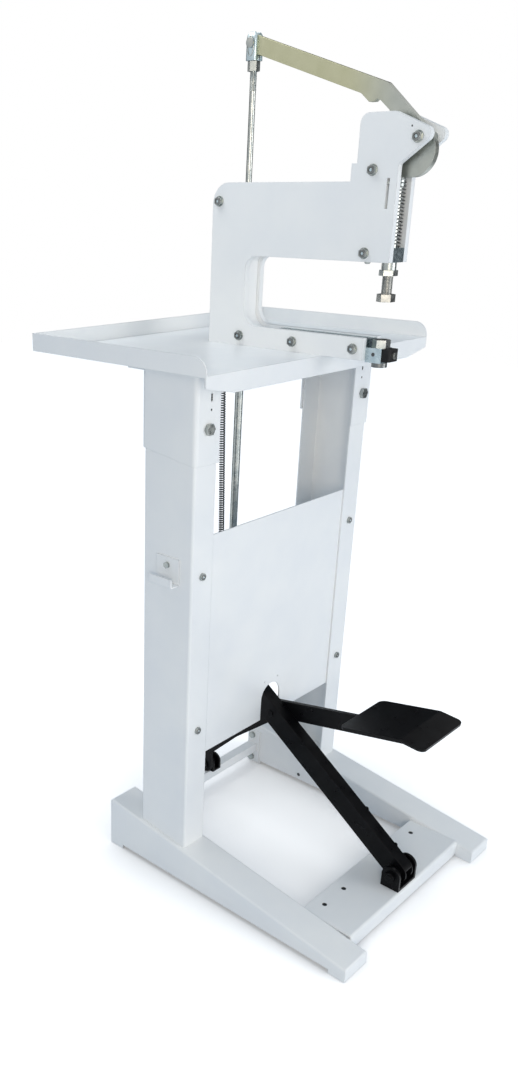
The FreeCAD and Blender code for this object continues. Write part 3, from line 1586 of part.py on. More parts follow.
def pedal_plate():
    body = new_body("pedal_plate")
    deep, thick = d.pedal_arm_half_depth, d.pedal_thickness
    droop = d.pedal_angle - d.pedal_bend_angle
    cos, sin = cosine(droop), sine(droop)
    rear_low, rear_high = arm_point(d.pedal_rear_reach, deep), arm_point(d.pedal_rear_reach, deep + thick)
    bend_low, bend_high = arm_point(d.pedal_bend_reach, deep), arm_point(d.pedal_bend_reach, deep + thick)
    front_low = (bend_low[0] - d.pedal_front_length * cos, bend_low[1] + d.pedal_front_length * sin)
    front_high = (front_low[0] + thick * sin, front_low[1] + thick * cos)
    low_x = d.pedal_centre_x - d.pedal_half_width
    high_x = d.pedal_centre_x + d.pedal_half_width
    outline = [rear_low, bend_low, front_low, front_high, bend_high, rear_high]
    stock(body, "YZ_Plane", [outline], low_x, high_x)
    corners = []
    for x in (low_x, high_x):
        corners.append(((x,) + rear_low, (x,) + rear_high))
        corners.append(((x,) + front_low, (x,) + front_high))
    round_edges(body, corners, d.pedal_corner_round)


pedal_plate()


def rear_bracket():
    body = new_body("rear_bracket")
    base = d.rear_bar_low_z + d.rear_bar_side
    low_x, high_x = d.rear_ear_x, d.rear_ear_outer_x
    y, z, size = d.rear_pivot_y, d.rear_pivot_z, d.rear_end_radius
    stock(body, "YZ_Plane", [rectangle(y - size, y + size, base, z)], low_x, high_x)
    stock(body, "YZ_Plane", [circle(y, z, size)], low_x, high_x)
    wall = d.rear_ear_wall
    room = rectangle(low_x + wall, high_x - wall, base + d.rear_ear_base, z + size + d.overrun)
    cutout(body, "XZ_Plane", [room], y - size - d.overrun, y + size + d.overrun)
    hole = [circle(y, z, d.big_pin_radius + d.running)]
    cutout(body, "YZ_Plane", hole, low_x - d.overrun, high_x + d.overrun)

    at = (y, z)
    head_high = pedal_arm_x() - d.seat_gap
    head = rod("X", at, head_high - d.rear_pin_head, head_high, d.rear_pin_head_radius)
    shank = rod("X", at, head_high - d.rear_pin_head, high_x + d.rear_pin_head, d.big_pin_radius)
    ring = rod("X", at, high_x, high_x + d.rear_pin_head, d.rear_pin_head_radius)
    publish(fused([head, shank, ring]), "rear_pivot_pin")


rear_bracket()


# Return spring

def return_spring():
    """Close coil with a long hook at each end, from the beam's bracket to the stud on the rod pin."""
    wire = d.return_spring_wire.value
    radius = d.return_spring_radius.value
    turns = int(d.return_spring_turns.value)
    pitch = d.return_spring_pitch.value
    stud_y, stud_z = [place_.value for place_ in bar_point(d.bar_length)]
    stud_x = -(pedal_arm_x() + d.rod_clevis_wall + d.spring_stud / 2).value
    foot_point = FreeCAD.Vector(stud_x, stud_y, stud_z)
    head_point = FreeCAD.Vector(d.return_spring_x.value, d.rod_y.value, d.return_spring_z.value)
    reach = (head_point - foot_point).Length
    coil = pitch * turns
    coil_low = reach - d.return_spring_top_shank.value - radius - coil
    coil_places = helix(radius, pitch, turns, coil_low)
    up = FreeCAD.Vector(0, 0, 1)
    down_way = FreeCAD.Vector(0, -1, 0)
    side = FreeCAD.Vector(radius, 0, 0)
    low_hook = [
        (FreeCAD.Vector(radius, 0, radius), down_way * -1),
        (FreeCAD.Vector(radius, radius, 0), up * -1),
        (FreeCAD.Vector(radius, 0, -radius), down_way),
        (FreeCAD.Vector(radius, -radius, 0), up),
        (FreeCAD.Vector(radius, -radius, coil_low - radius), up),
    ]
    top = coil_low + coil
    high_hook = [
        (FreeCAD.Vector(radius, radius, top + radius), up),
        (FreeCAD.Vector(radius, radius, reach), up),
        (FreeCAD.Vector(radius, 0, reach + radius), down_way),
        (FreeCAD.Vector(radius, -radius, reach), up * -1),
        (FreeCAD.Vector(radius, 0, reach - radius), down_way * -1),
    ]
    places = [(point - side, way) for point, way in low_hook + coil_places + high_hook]
    print_gap("return_spring", places, pitch, wire)
    spring = document.addObject("Part::Feature", "ReturnSpring")
    spring.Shape = wire_solid(places, wire / 2)
    spring.Placement = FreeCAD.Placement(foot_point, FreeCAD.Rotation(up, head_point - foot_point))
    publish(spring, "return_spring")

    x, half = d.return_spring_x, d.spring_bracket_half_depth
    wall = d.spring_bracket_wall
    stand = x - d.return_spring_radius * 2 - wall
    low_corner = (stand, d.rod_y - half, d.return_spring_z - half)
    plate = block(low_corner, (stand + wall, d.rod_y + half, tray_low_z()))
    stud_end = x + d.return_spring_radius * 2
    stud = rod("X", (d.rod_y, d.return_spring_z), stand, stud_end, d.spring_stud_radius)
    publish(fused([plate, stud]), "spring_bracket")


return_spring()


# Check and write

document.recompute()
for item in document.Objects:
    if "Invalid" in item.State or "Error" in item.State:
        raise RuntimeError("%s (%s) failed" % (item.Name, item.Label))
for piece in sub_parts:
    if piece.Shape.isNull() or not piece.Shape.isValid() or not piece.Shape.Solids:
        raise RuntimeError("%s has no valid solid" % piece.Label)

os.makedirs("parts", exist_ok=True)
for piece in sub_parts:
    piece.Shape.exportStep("parts/%s.step" % piece.Label)
    print("%s: %d solid(s), %.1f cm3" % (piece.Label, len(piece.Shape.Solids), piece.Shape.Volume / 1000))
print("%d sub-parts written" % len(sub_parts))
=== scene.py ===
# %% [markdown]
# # A foot press for eyelets
# The real machine stands on two wedge-shaped feet of folded sheet. A pedal pulls a rod down through
# the table, and the rod swings a lever that pushes a ram. The measured solids come from the frame.
# This lesson only gives them their finishes, adds small parts, lights them and looks at them.
# Another way would be to model everything here; the frame keeps every size true instead.

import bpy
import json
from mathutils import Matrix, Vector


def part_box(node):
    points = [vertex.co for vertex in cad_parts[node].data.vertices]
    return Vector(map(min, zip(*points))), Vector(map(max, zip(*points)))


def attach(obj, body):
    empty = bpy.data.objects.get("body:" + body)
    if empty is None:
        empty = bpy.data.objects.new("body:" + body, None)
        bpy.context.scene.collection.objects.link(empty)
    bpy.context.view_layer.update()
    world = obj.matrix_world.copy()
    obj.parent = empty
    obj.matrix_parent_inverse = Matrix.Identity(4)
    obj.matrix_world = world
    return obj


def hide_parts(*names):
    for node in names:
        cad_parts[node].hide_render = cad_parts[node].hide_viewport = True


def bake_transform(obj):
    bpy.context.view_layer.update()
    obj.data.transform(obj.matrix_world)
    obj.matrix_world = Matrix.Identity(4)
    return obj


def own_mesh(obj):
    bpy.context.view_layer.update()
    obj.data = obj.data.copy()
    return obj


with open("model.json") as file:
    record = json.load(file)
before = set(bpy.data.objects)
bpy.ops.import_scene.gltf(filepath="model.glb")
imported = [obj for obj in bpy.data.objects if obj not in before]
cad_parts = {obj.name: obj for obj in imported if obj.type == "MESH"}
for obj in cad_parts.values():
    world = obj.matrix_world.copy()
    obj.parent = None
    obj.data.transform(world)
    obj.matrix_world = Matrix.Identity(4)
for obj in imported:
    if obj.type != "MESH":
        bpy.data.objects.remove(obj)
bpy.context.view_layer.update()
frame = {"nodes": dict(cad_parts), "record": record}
nodes = frame["nodes"]

# %% Tools for the whole lesson
import json
import math

import bmesh
import bpy
from mathutils import Matrix, Vector

MILLIMETRE = 0.001


def linear(hex_colour):
    """Turns an sRGB colour such as #F2F3F3 into the linear colour that shaders want."""
    channels = [int(hex_colour[i:i + 2], 16) / 255 for i in (1, 3, 5)]
    light = [c / 12.92 if c <= 0.04045 else ((c + 0.055) / 1.055) ** 2.4 for c in channels]
    return tuple(light) + (1.0,)


def add_node(tree, kind, settings, inputs):
    """Adds a node, sets its properties, and fills each input with a value or a link."""
    node = tree.nodes.new(kind)
    for name, value in settings.items():
        setattr(node, name, value)
    for name, value in inputs.items():
        if isinstance(value, bpy.types.NodeSocket):
            tree.links.new(value, node.inputs[name])
        else:
            node.inputs[name].default_value = value
    return node


def per_size(size_mm):
    """The noise scale that gives blotches of about this many millimetres."""
    return 1.0 / (size_mm * MILLIMETRE)


print("white in linear light:", [round(c, 3) for c in linear("#F2F3F3")])

# %% [markdown]
# ## Finishes
# Each finish is a new material. All of them start in the same way: an empty node tree with one
# Principled shader, whose colour and gloss are then varied a little. Painting a picture on the
# surface would do it too, but a pattern made from the position in space needs no unwrapping.

# %% Start a finish
def start_finish(name, metallic, roughness):
    """An empty material with a Principled shader and the position in metres."""
    material = bpy.data.materials.new(name)
    material.use_nodes = True
    tree = material.node_tree
    tree.nodes.clear()
    position = add_node(tree, "ShaderNodeTexCoord", {}, {}).outputs["Object"]
    look = {"Metallic": metallic, "Roughness": roughness}
    shader = add_node(tree, "ShaderNodeBsdfPrincipled", {}, look)
    output = add_node(tree, "ShaderNodeOutputMaterial", {}, {})
    tree.links.new(shader.outputs["BSDF"], output.inputs["Surface"])
    return material, tree, position, shader


def blotches(tree, position, size_mm, detail):
    """Soft random patches of a given size, as a number from 0 to 1."""
    settings = {"Vector": position, "Scale": per_size(size_mm), "Detail": detail}
    return add_node(tree, "ShaderNodeTexNoise", {}, settings).outputs["Fac"]


def between(tree, number, low, high):
    """Spreads a number from 0.3..0.7 over low..high."""
    settings = {"Value": number, "From Min": 0.3, "From Max": 0.7, "To Min": low, "To Max": high}
    return add_node(tree, "ShaderNodeMapRange", {}, settings).outputs["Result"]


def two_colours(tree, number, first, second):
    """A colour that goes from the first to the second as the number goes from 0 to 1."""
    inputs = {0: number, 6: linear(first), 7: linear(second)}
    return add_node(tree, "ShaderNodeMix", {"data_type": "RGBA"}, inputs).outputs[2]


def relief(tree, height, depth_mm, strength, edge_mm):
    """Small dents and bumps from a height pattern, on edges that look rounded by edge_mm."""
    edge = add_node(tree, "ShaderNodeBevel", {"samples": 4}, {"Radius": edge_mm * MILLIMETRE})
    inputs = {"Height": height, "Distance": depth_mm * MILLIMETRE, "Strength": strength,
              "Normal": edge.outputs["Normal"]}
    return add_node(tree, "ShaderNodeBump", {}, inputs).outputs["Normal"]


print("one blotch of 60 mm has the scale", round(per_size(60), 1))

# %% [markdown]
# ### White polyester powder coat
# The sheet metal is sprayed with dry powder and baked. The skin is thick and a little uneven, which
# is called orange peel: the eye sees soft-edged reflections and edges that look slightly rounded.
# Real orange peel is about 1 mm wide. That is finer than a pixel here, so it is drawn 4 mm wide.

# %% White powder coat
def white_powder_coat():
    material, tree, position, shader = start_finish("white_powder_coat", 0.0, 0.38)
    tint = between(tree, blotches(tree, position, 90, 3.0), 0.0, 1.0)
    colour = two_colours(tree, tint, "#EBEDEE", "#F1F2F1")
    tree.links.new(colour, shader.inputs["Base Color"])
    gloss = between(tree, blotches(tree, position, 25, 4.0), 0.33, 0.43)
    tree.links.new(gloss, shader.inputs["Roughness"])
    peel = blotches(tree, position, 4, 2.0)
    tree.links.new(relief(tree, peel, 0.08, 0.25, 1.5), shader.inputs["Normal"])
    return material


finishes = {"white_coat": white_powder_coat()}
print("finish:", finishes["white_coat"].name)

# %% [markdown]
# ### Black powder coat
# The foot gear is coated black with a finer powder. Its specular level is low, so that the white
# room doesn't turn it grey, and a little dust takes the black off here and there.

# %% Black powder coat
def black_powder_coat():
    material, tree, position, shader = start_finish("black_powder_coat", 0.0, 0.3)
    shader.inputs["Specular IOR Level"].default_value = 0.12
    dust = between(tree, blotches(tree, position, 35, 5.0), 0.0, 1.0)
    tree.links.new(two_colours(tree, dust, "#060608", "#0D0E10"), shader.inputs["Base Color"])
    gloss = between(tree, blotches(tree, position, 18, 4.0), 0.26, 0.4)
    tree.links.new(gloss, shader.inputs["Roughness"])
    peel = blotches(tree, position, 3, 2.0)
    tree.links.new(relief(tree, peel, 0.08, 0.3, 1.2), shader.inputs["Normal"])
    return material


finishes["black_coat"] = black_powder_coat()
print("finish:", finishes["black_coat"].name)

# %% [markdown]
# ### Zinc plate and turned steel
# Bolts, the rod and the tube are steel with a thin coat of zinc and a clear chromate over it. The
# plate is cool and shiny, with faint clouds and fine scratches. The scratches are drawn 2 mm apart,
# because real ones would be too fine to see. The same recipe gives the bluer plate of the fork and
# the clamp, the darker plate that hands have worn, and the bare turned steel of the punch holder.

# %% Zinc plate and turned steel
def bright_metal(name, dark, light, smoothest, roughest):
    material, tree, position, shader = start_finish(name, 1.0, smoothest)
    clouds = between(tree, blotches(tree, position, 14, 3.0), 0.0, 1.0)
    tree.links.new(two_colours(tree, clouds, dark, light), shader.inputs["Base Color"])
    handling = between(tree, blotches(tree, position, 6, 5.0), smoothest, roughest)
    tree.links.new(handling, shader.inputs["Roughness"])
    scratches = blotches(tree, position, 2, 4.0)
    tree.links.new(relief(tree, scratches, 0.05, 0.2, 0.6), shader.inputs["Normal"])
    return material


finishes["bright_zinc"] = bright_metal("bright_zinc_plate", "#8F9798", "#B3B6B2", 0.22, 0.38)
# The blue plate also serves as the painted highlight in the middle of each bolt head.
finishes["blue_zinc_and_highlight"] = bright_metal("blue_chromate_zinc", "#A3B4BC", "#BCCBD0", 0.2, 0.34)
# The worn plate also serves as the painted shade on the rim of each bolt head.
finishes["worn_zinc_and_shade"] = bright_metal("worn_zinc_plate", "#66696A", "#848787", 0.24, 0.4)
finishes["turned_steel"] = bright_metal("turned_steel", "#7F8282", "#A4A5A1", 0.24, 0.4)
print("finishes:", sorted(finishes))

# %% [markdown]
# ### Yellow zinc on the top lever
# The long lever was cut from plate and given a yellow chromate. Its arm is a pale greenish straw
# colour, and toward the disc the plating turns to bare silver. A gradient along the lever does
# this. It is soft, so that no straight line shows between the two colours.

# %% Yellow zinc plate
SILVER_UP_TO_Y, STRAW_FROM_Y = -0.13, -0.03
ROLLING_STRETCH = 0.08


def yellow_zinc_plate():
    material, tree, position, shader = start_finish("yellow_zinc_plate", 1.0, 0.36)
    along = add_node(tree, "ShaderNodeSeparateXYZ", {}, {"Vector": position}).outputs["Y"]
    reach = {"Value": along, "From Min": SILVER_UP_TO_Y, "From Max": STRAW_FROM_Y}
    smooth = {"interpolation_type": "SMOOTHSTEP"}
    share = add_node(tree, "ShaderNodeMapRange", smooth, reach).outputs["Result"]
    clouds = blotches(tree, position, 22, 4.0)
    straw = two_colours(tree, clouds, "#A9AA8C", "#B8B89E")
    silver = two_colours(tree, clouds, "#9CA19C", "#B4B8B2")
    inputs = {0: share, 6: silver, 7: straw}
    colour = add_node(tree, "ShaderNodeMix", {"data_type": "RGBA"}, inputs).outputs[2]
    tree.links.new(colour, shader.inputs["Base Color"])
    gloss = between(tree, blotches(tree, position, 9, 4.0), 0.3, 0.46)
    tree.links.new(gloss, shader.inputs["Roughness"])
    stretch = {"Vector": position, "Scale": (1.0, ROLLING_STRETCH, 1.0)}
    rolled = add_node(tree, "ShaderNodeMapping", {}, stretch)
    grain = blotches(tree, rolled.outputs["Vector"], 1.5, 3.0)
    tree.links.new(relief(tree, grain, 0.05, 0.2, 0.8), shader.inputs["Normal"])
    return material


finishes["yellow_zinc"] = yellow_zinc_plate()
print("finish:", finishes["yellow_zinc"].name)

# %% [markdown]
# ### Spring steel and moulded plastic
# The long spring is oiled dark steel: nearly black between its turns, with a bright line on each
# turn. The stop block is moulded plastic, which is duller than the coated steel beside it.

# %% Spring steel and plastic
def oiled_spring_steel_and_hole_shade():
    material, tree, position, shader = start_finish("oiled_spring_steel_and_hole_shade", 1.0, 0.34)
    oil = between(tree, blotches(tree, position, 12, 4.0), 0.0, 1.0)
    tree.links.new(two_colours(tree, oil, "#46484A", "#606264"), shader.inputs["Base Color"])
    gloss = between(tree, blotches(tree, position, 5, 3.0), 0.26, 0.42)
    tree.links.new(gloss, shader.inputs["Roughness"])
    return material


def moulded_plastic():
    material, tree, position, shader = start_finish("moulded_black_plastic", 0.0, 0.5)
    shader.inputs["Specular IOR Level"].default_value = 0.2
    shade = between(tree, blotches(tree, position, 10, 3.0), 0.0, 1.0)
    tree.links.new(two_colours(tree, shade, "#0F1012", "#191A1C"), shader.inputs["Base Color"])
    grain = blotches(tree, position, 1.2, 2.0)
    tree.links.new(relief(tree, grain, 0.06, 0.35, 1.0), shader.inputs["Normal"])
    return material


# The dark spring steel also serves as painted shade inside the small holes.
finishes["spring_steel"] = oiled_spring_steel_and_hole_shade()
finishes["black_plastic"] = moulded_plastic()
print("finishes:", sorted(finishes))

# %% [markdown]
# ### Give every solid its finish
# The record names a slot for every solid. One loop follows it, and a short table holds the pieces
# whose finish differs from the rest of their slot.

# %% Assign the finishes
SLOTS = {row["node"]: row["material_slot"] for row in frame["record"]["subparts"]}
OTHER_FINISH = {
    "guide_block": "blue_zinc_and_highlight", "punch_holder": "turned_steel", "anvil_bar": "blue_zinc_and_highlight",
    "die_clamp": "blue_zinc_and_highlight", "die_bush": "worn_zinc_and_shade",
}


def give_finish(node_name, node):
    finish = finishes[OTHER_FINISH.get(node_name, SLOTS[node_name])]
    node.data.materials.clear()
    node.data.materials.append(finish)


for name, node in nodes.items():
    give_finish(name, node)
print("solids with a finish:", len(nodes))

# %% [markdown]
# ## Small pieces that the measured solids leave out
# The frame holds what a checker can measure. Washers, threads, close springs and small screws are
# finer than that, so they are made here, each from a short recipe: a turned profile, a wire along a
# line, or a ridge that winds up a bar. Every piece but the long spring rides on the body that it is
# fixed to.
# The long spring is made in two halves, an upper one up to the table stud and a lower one down to
# the stud on the drive bar, and neither rides on a body.

# %% Recipes for small pieces
def small_piece(name, bm, finish, body):
    """Turns a bmesh into an object with a finish, which rides on a body if one is named."""
    bmesh.ops.recalc_face_normals(bm, faces=bm.faces)
    mesh = bpy.data.meshes.new(name)
    bm.to_mesh(mesh)
    bm.free()
    mesh.set_sharp_from_angle(angle=math.radians(35))
    mesh.materials.append(finishes[finish])
    piece = bpy.data.objects.new(name, mesh)
    bpy.context.scene.collection.objects.link(piece)
    if body:
        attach(piece, body)
    return piece


def axis_at(place_mm, direction):
    """A frame whose +Z runs along the direction from the place."""
    turn = Vector(direction).to_track_quat("Z", "Y").to_matrix().to_4x4()
    return Matrix.Translation(Vector(place_mm)) @ turn


def ring_of_points(bm, frame_mm, radius, height, sides):
    """Corners of one ring round the frame's +Z axis."""
    steps = [math.tau * i / sides for i in range(sides)]
    spots = [frame_mm @ Vector((radius * math.cos(a), radius * math.sin(a), height)) for a in steps]
    return [bm.verts.new(spot * MILLIMETRE) for spot in spots]


def join_rings(bm, first, second, smooth=True):
    """A band of four-sided faces between two rings of as many corners."""
    count = len(first)
    for i in range(count):
        j = (i + 1) % count
        bm.faces.new((first[i], first[j], second[j], second[i])).smooth = smooth


def turned(bm, place_mm, direction, profile, sides=32, hollow=False):
    """Spins a profile of (radius, height) pairs round an axis."""
    frame_mm = axis_at(place_mm, direction)
    rings = [ring_of_points(bm, frame_mm, radius, height, sides) for radius, height in profile]
    for first, second in zip(rings, rings[1:]):
        join_rings(bm, first, second)
    if hollow:
        join_rings(bm, rings[-1], rings[0])
    else:
        bm.faces.new(rings[0])
        bm.faces.new(rings[-1])


def wire(bm, spots_mm, radius, sides=8):
    """A round wire along a line of spots; its section is carried along without twisting."""
    ways = [(after - before).normalized() for before, after in zip(spots_mm, spots_mm[1:])]
    ways.append(ways[-1])
    across = ways[0].orthogonal().normalized()
    rings = []
    for spot, way in zip(spots_mm, ways):
        across = (across - way * across.dot(way)).normalized()
        other = way.cross(across)
        steps = [math.tau * i / sides for i in range(sides)]
        ring = [spot + (across * math.cos(a) + other * math.sin(a)) * radius for a in steps]
        rings.append([bm.verts.new(corner * MILLIMETRE) for corner in ring])
    for first, second in zip(rings, rings[1:]):
        join_rings(bm, first, second)
    bm.faces.new(rings[0])
    bm.faces.new(rings[-1])


RIDGE_HALF_WIDTH = 0.45


def thread_ridge(bm, place_mm, direction, radius, length, pitch, depth, steps=24):
    """A screw thread: a three-sided ridge that winds up a bar."""
    frame_mm = axis_at(place_mm, direction)
    rows = []
    for i in range(int(length / pitch * steps) + 1):
        angle = math.tau * i / steps
        height = pitch * i / steps
        way = Vector((math.cos(angle), math.sin(angle), 0.0))
        foot = pitch * RIDGE_HALF_WIDTH
        corners = ((radius, -foot), (radius + depth, 0.0), (radius, foot))
        spots = [frame_mm @ (way * reach + Vector((0.0, 0.0, height + lift)))
                 for reach, lift in corners]
        rows.append([bm.verts.new(spot * MILLIMETRE) for spot in spots])
    for first, second in zip(rows, rows[1:]):
        join_rings(bm, first, second, smooth=False)
    bm.faces.new(rows[0])
    bm.faces.new(rows[-1])


print("recipes: turned, wire, thread_ridge")

# %% [markdown]
# ### Washers
# A press is knocked about all day, so its makers put a plain washer under each bolt head. It also
# keeps the head from biting through the paint. The rim is slightly rounded by the stamping.

# %% Washers
WASHER = [(6.3, 0.0), (7.9, 0.0), (8.2, 0.3), (8.2, 1.1), (7.9, 1.4), (6.3, 1.4)]
PLATE_FACE_X = -25.0
HEAD_BOLTS = [(177.5, 1164), (-105, 1207), (-103, 1095), (125, 957), (16, 957), (-98, 957),
              (-172, 1248)]


def washers():
    bm = bmesh.new()
    for y, z in HEAD_BOLTS:
        turned(bm, (PLATE_FACE_X, y, z), (-1, 0, 0), WASHER, hollow=True)
        turned(bm, (-PLATE_FACE_X, y, z), (1, 0, 0), WASHER, hollow=True)
    small_piece("head_bolt_washers", bm, "bright_zinc", "head")


washers()
print("washers:", 2 * len(HEAD_BOLTS))

# %% [markdown]
# ### Threads
# The punch screws into the ram, and the long rod screws into its fork. A picture of a thread would
# stay flat at the edge of the bar, so a real ridge winds up it.

# %% Threads
RAM_Y, ROD_Y = -132.0, 139.0
UP = (0, 0, 1)


def threads():
    bm = bmesh.new()
    thread_ridge(bm, (0, RAM_Y, 1039), UP, radius=7.4, length=32.0, pitch=2.0, depth=0.7)
    small_piece("punch_thread", bm, "turned_steel", "ram")
    bm = bmesh.new()
    thread_ridge(bm, (0, ROD_Y, 1322), UP, radius=4.9, length=26.0, pitch=1.5, depth=0.5)
    small_piece("rod_thread", bm, "bright_zinc", "rod")


threads()
print("threads on the punch and the rod")

# %% [markdown]
# ### Springs
# The ram spring is a compression spring: its turns stand apart, and it pushes the ram back up. The
# long one is a tension spring. It hangs slightly stretched between two studs, so its turns stand a
# little apart. Both are a wire that follows a helix. A screw modifier would also wind them, but it
# gives no hooks.

# %% Springs
def helix_spots(radius, pitch, turns, low, per_turn=14):
    """Spots on a helix that climbs the Z axis from a height."""
    count = int(turns * per_turn)
    steps = [math.tau * i / per_turn - math.pi / 2 for i in range(count + 1)]
    return [Vector((radius * math.cos(a), radius * math.sin(a), low + pitch * i / per_turn))
            for i, a in enumerate(steps)]


def arc_spots(middle, radius, first, last, count=10):
    """Spots on an arc in the YZ plane, round a height on the Z axis, by angles from +Y."""
    steps = [math.radians(first + (last - first) * i / count) for i in range(count + 1)]
    return [Vector((0.0, radius * math.cos(a), middle + radius * math.sin(a))) for a in steps]


RAM_SPRING_RADIUS, RAM_SPRING_WIRE, RAM_SPRING_TURNS = 12.85, 0.85, 19
RAM_SPRING_LOW, RAM_SPRING_HEIGHT = 1104.2, 91.0
LONG_SPRING_RADIUS, LONG_SPRING_WIRE, LONG_SPRING_TURNS = 4.2, 1.25, 87
LONG_SPRING_PITCH = 4.2
LONG_SPRING_NECK = 30.0
BAR_STUD, TABLE_STUD = Vector((-22.5, 139.09, 353.89)), Vector((-47.0, 139.0, 904.0))


def ram_spring():
    bm = bmesh.new()
    frame_mm = Matrix.Translation((0.0, RAM_Y, 0.0))
    pitch = RAM_SPRING_HEIGHT / RAM_SPRING_TURNS
    line = helix_spots(RAM_SPRING_RADIUS, pitch, RAM_SPRING_TURNS, RAM_SPRING_LOW)
    wire(bm, [frame_mm @ spot for spot in line], RAM_SPRING_WIRE)
    spring = small_piece("close_ram_spring", bm, "worn_zinc_and_shade", "head")
    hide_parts("ram_spring")
    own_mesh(spring)


def tension_spring():
    """Winds the long spring with its two hooks, and splits it into two halves.

    Each hook is three quarters of a circle round its stud.
    """
    foot, top = BAR_STUD, TABLE_STUD
    reach = (top - foot).length
    radius, pitch, turns = LONG_SPRING_RADIUS, LONG_SPRING_PITCH, LONG_SPRING_TURNS
    low = reach - LONG_SPRING_NECK - pitch * turns
    line = arc_spots(0.0, radius, 90, -180) + helix_spots(radius, pitch, turns, low)
    line += arc_spots(reach, radius, 180, -90)
    frame_mm = axis_at(foot, top - foot)
    spots = [frame_mm @ spot for spot in line]
    middle = len(spots) // 2
    split = spots[middle]
    halves = (("return_spring_top", spots[middle:], ("head", "stand"), top, split),
              ("return_spring_foot", spots[:middle + 1], ("stand", "drive_bar"), split, foot))
    for name, part, bodies, start, end in halves:
        bm = bmesh.new()
        wire(bm, part, LONG_SPRING_WIRE)
        half = small_piece(name, bm, "spring_steel", None)
        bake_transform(half)
        if bodies[0] == "head":
            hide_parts("return_spring")


ram_spring()
tension_spring()
print("turns:", RAM_SPRING_TURNS, "on the ram,", LONG_SPRING_TURNS, "below the table")

# %% [markdown]
# ### Screws, studs and an oil hole
# These are the last marks that a careful eye finds: a set screw under the arm, an oil hole beside
# the pivot, the clamp's socket screw, and two studs on the drive bar. The bar slopes, so the studs
# are placed by their way along it and by their height above the line through its pivots.

# %% Small screws
DOME = [(4.4, 0.0), (4.4, 1.2), (3.6, 2.4), (2.0, 3.0), (1.7, 3.0), (1.6, 1.4), (0.2, 1.2)]
SOCKET = [(2.9, 0.0), (2.9, 0.25), (2.5, 0.35), (1.9, 0.35), (1.8, 0.12), (0.2, 0.1)]
OIL_HOLE = [(1.3, 0.0), (1.3, 0.12), (0.2, 0.12)]
SET_SCREW_PLACE = (-20, -107, 1083)
OIL_HOLE_PLACE = (PLATE_FACE_X, -160.9, 1261.4)
CLAMP_SCREW_PLACE = (-15.0, -128.5, 950.5)
BAR_PIVOT_Y, BAR_PIVOT_Z, BAR_FACE_X = -276.0, 60.0, 12.5
BAR_LEVEL, BAR_RISE = 0.8161, 0.5779
STUDS_ALONG, STUDS_ABOVE = (37.0, 117.0), 17.6
LEFT, RIGHT, FRONT, DOWN = (-1, 0, 0), (1, 0, 0), (0, -1, 0), (0, 0, -1)


def small_screws():
    bm = bmesh.new()
    turned(bm, SET_SCREW_PLACE, DOWN, DOME)
    small_piece("arm_set_screw", bm, "bright_zinc", "head")
    # The oil hole and the clamp screw's socket are thin dark pieces in spring steel: painted shade
    # inside them.
    bm = bmesh.new()
    turned(bm, OIL_HOLE_PLACE, LEFT, OIL_HOLE)
    turned(bm, CLAMP_SCREW_PLACE, LEFT, SOCKET)
    small_piece("oil_and_socket_shade", bm, "spring_steel", "head")
    bm = bmesh.new()
    for along in STUDS_ALONG:
        y = BAR_PIVOT_Y + along * BAR_LEVEL - STUDS_ABOVE * BAR_RISE
        z = BAR_PIVOT_Z + along * BAR_RISE + STUDS_ABOVE * BAR_LEVEL
        turned(bm, (BAR_FACE_X, y, z), RIGHT, DOME)
    small_piece("bar_studs", bm, "black_coat", "drive_bar")


small_screws()
print("a set screw, a clamp screw, an oil hole and", len(STUDS_ALONG), "studs")

# %% [markdown]
# ### Sockets in the bolt heads
# A bolt head isn't a flat disc. Its rim is bevelled, and a socket is pressed into its middle, so
# one side of the head is dark and the other bright. Each head gets a crown in the darker worn
# plate, which is painted shade on its rim, and a core in the brighter blue plate, which is a
# painted highlight in its middle.

# %% Bolt crowns
CROWN = [(5.9, 0.0), (5.8, 0.5), (5.0, 1.5), (3.6, 1.9), (3.2, 1.8), (3.0, 0.6), (0.2, 0.5)]
HIGHLIGHT_CORE = [(2.3, 0.4), (2.2, 1.0), (1.6, 1.25), (0.2, 1.3)]
BOLT_HEAD_X = -30.3
PANEL_SCREWS = [(side * 216, z) for side in (-1, 1) for z in (312, 600)]
PANEL_SCREW_SCALE = 0.8


def crowns(name, body, places, scale):
    """A dished crown on each head, darker as painted shade, and a bright core as a painted
    highlight.
    """
    # Darker worn plate paints shade on each crown, and brighter blue plate paints a highlight on
    # each core.
    for kind, profile, finish in (("crowns", CROWN, "worn_zinc_and_shade"), ("painted_highlight_cores", HIGHLIGHT_CORE, "blue_zinc_and_highlight")):
        bm = bmesh.new()
        for place, direction in places:
            scaled = [(radius * scale, height) for radius, height in profile]
            turned(bm, place, direction, scaled, sides=24)
        small_piece(name + "_" + kind, bm, finish, body)


crowns("frame_bolt", "head", [((BOLT_HEAD_X, y, z), LEFT) for y, z in HEAD_BOLTS], 1.0)
SCREW_FACE_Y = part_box("panel_screws")[0].y / MILLIMETRE
panel_places = [((x, SCREW_FACE_Y, z), FRONT) for x, z in PANEL_SCREWS]
crowns("panel_screw", "stand", panel_places, PANEL_SCREW_SCALE)
print("crowned heads:", len(HEAD_BOLTS) + len(PANEL_SCREWS))

# %% [markdown]
# ### Shade inside the small holes
# Light enters a small hole and hardly comes out again, so it looks black. Each one gets a disc of
# painted shade just below its rim, in the dark spring steel finish. Through holes would show the
# white floor instead.

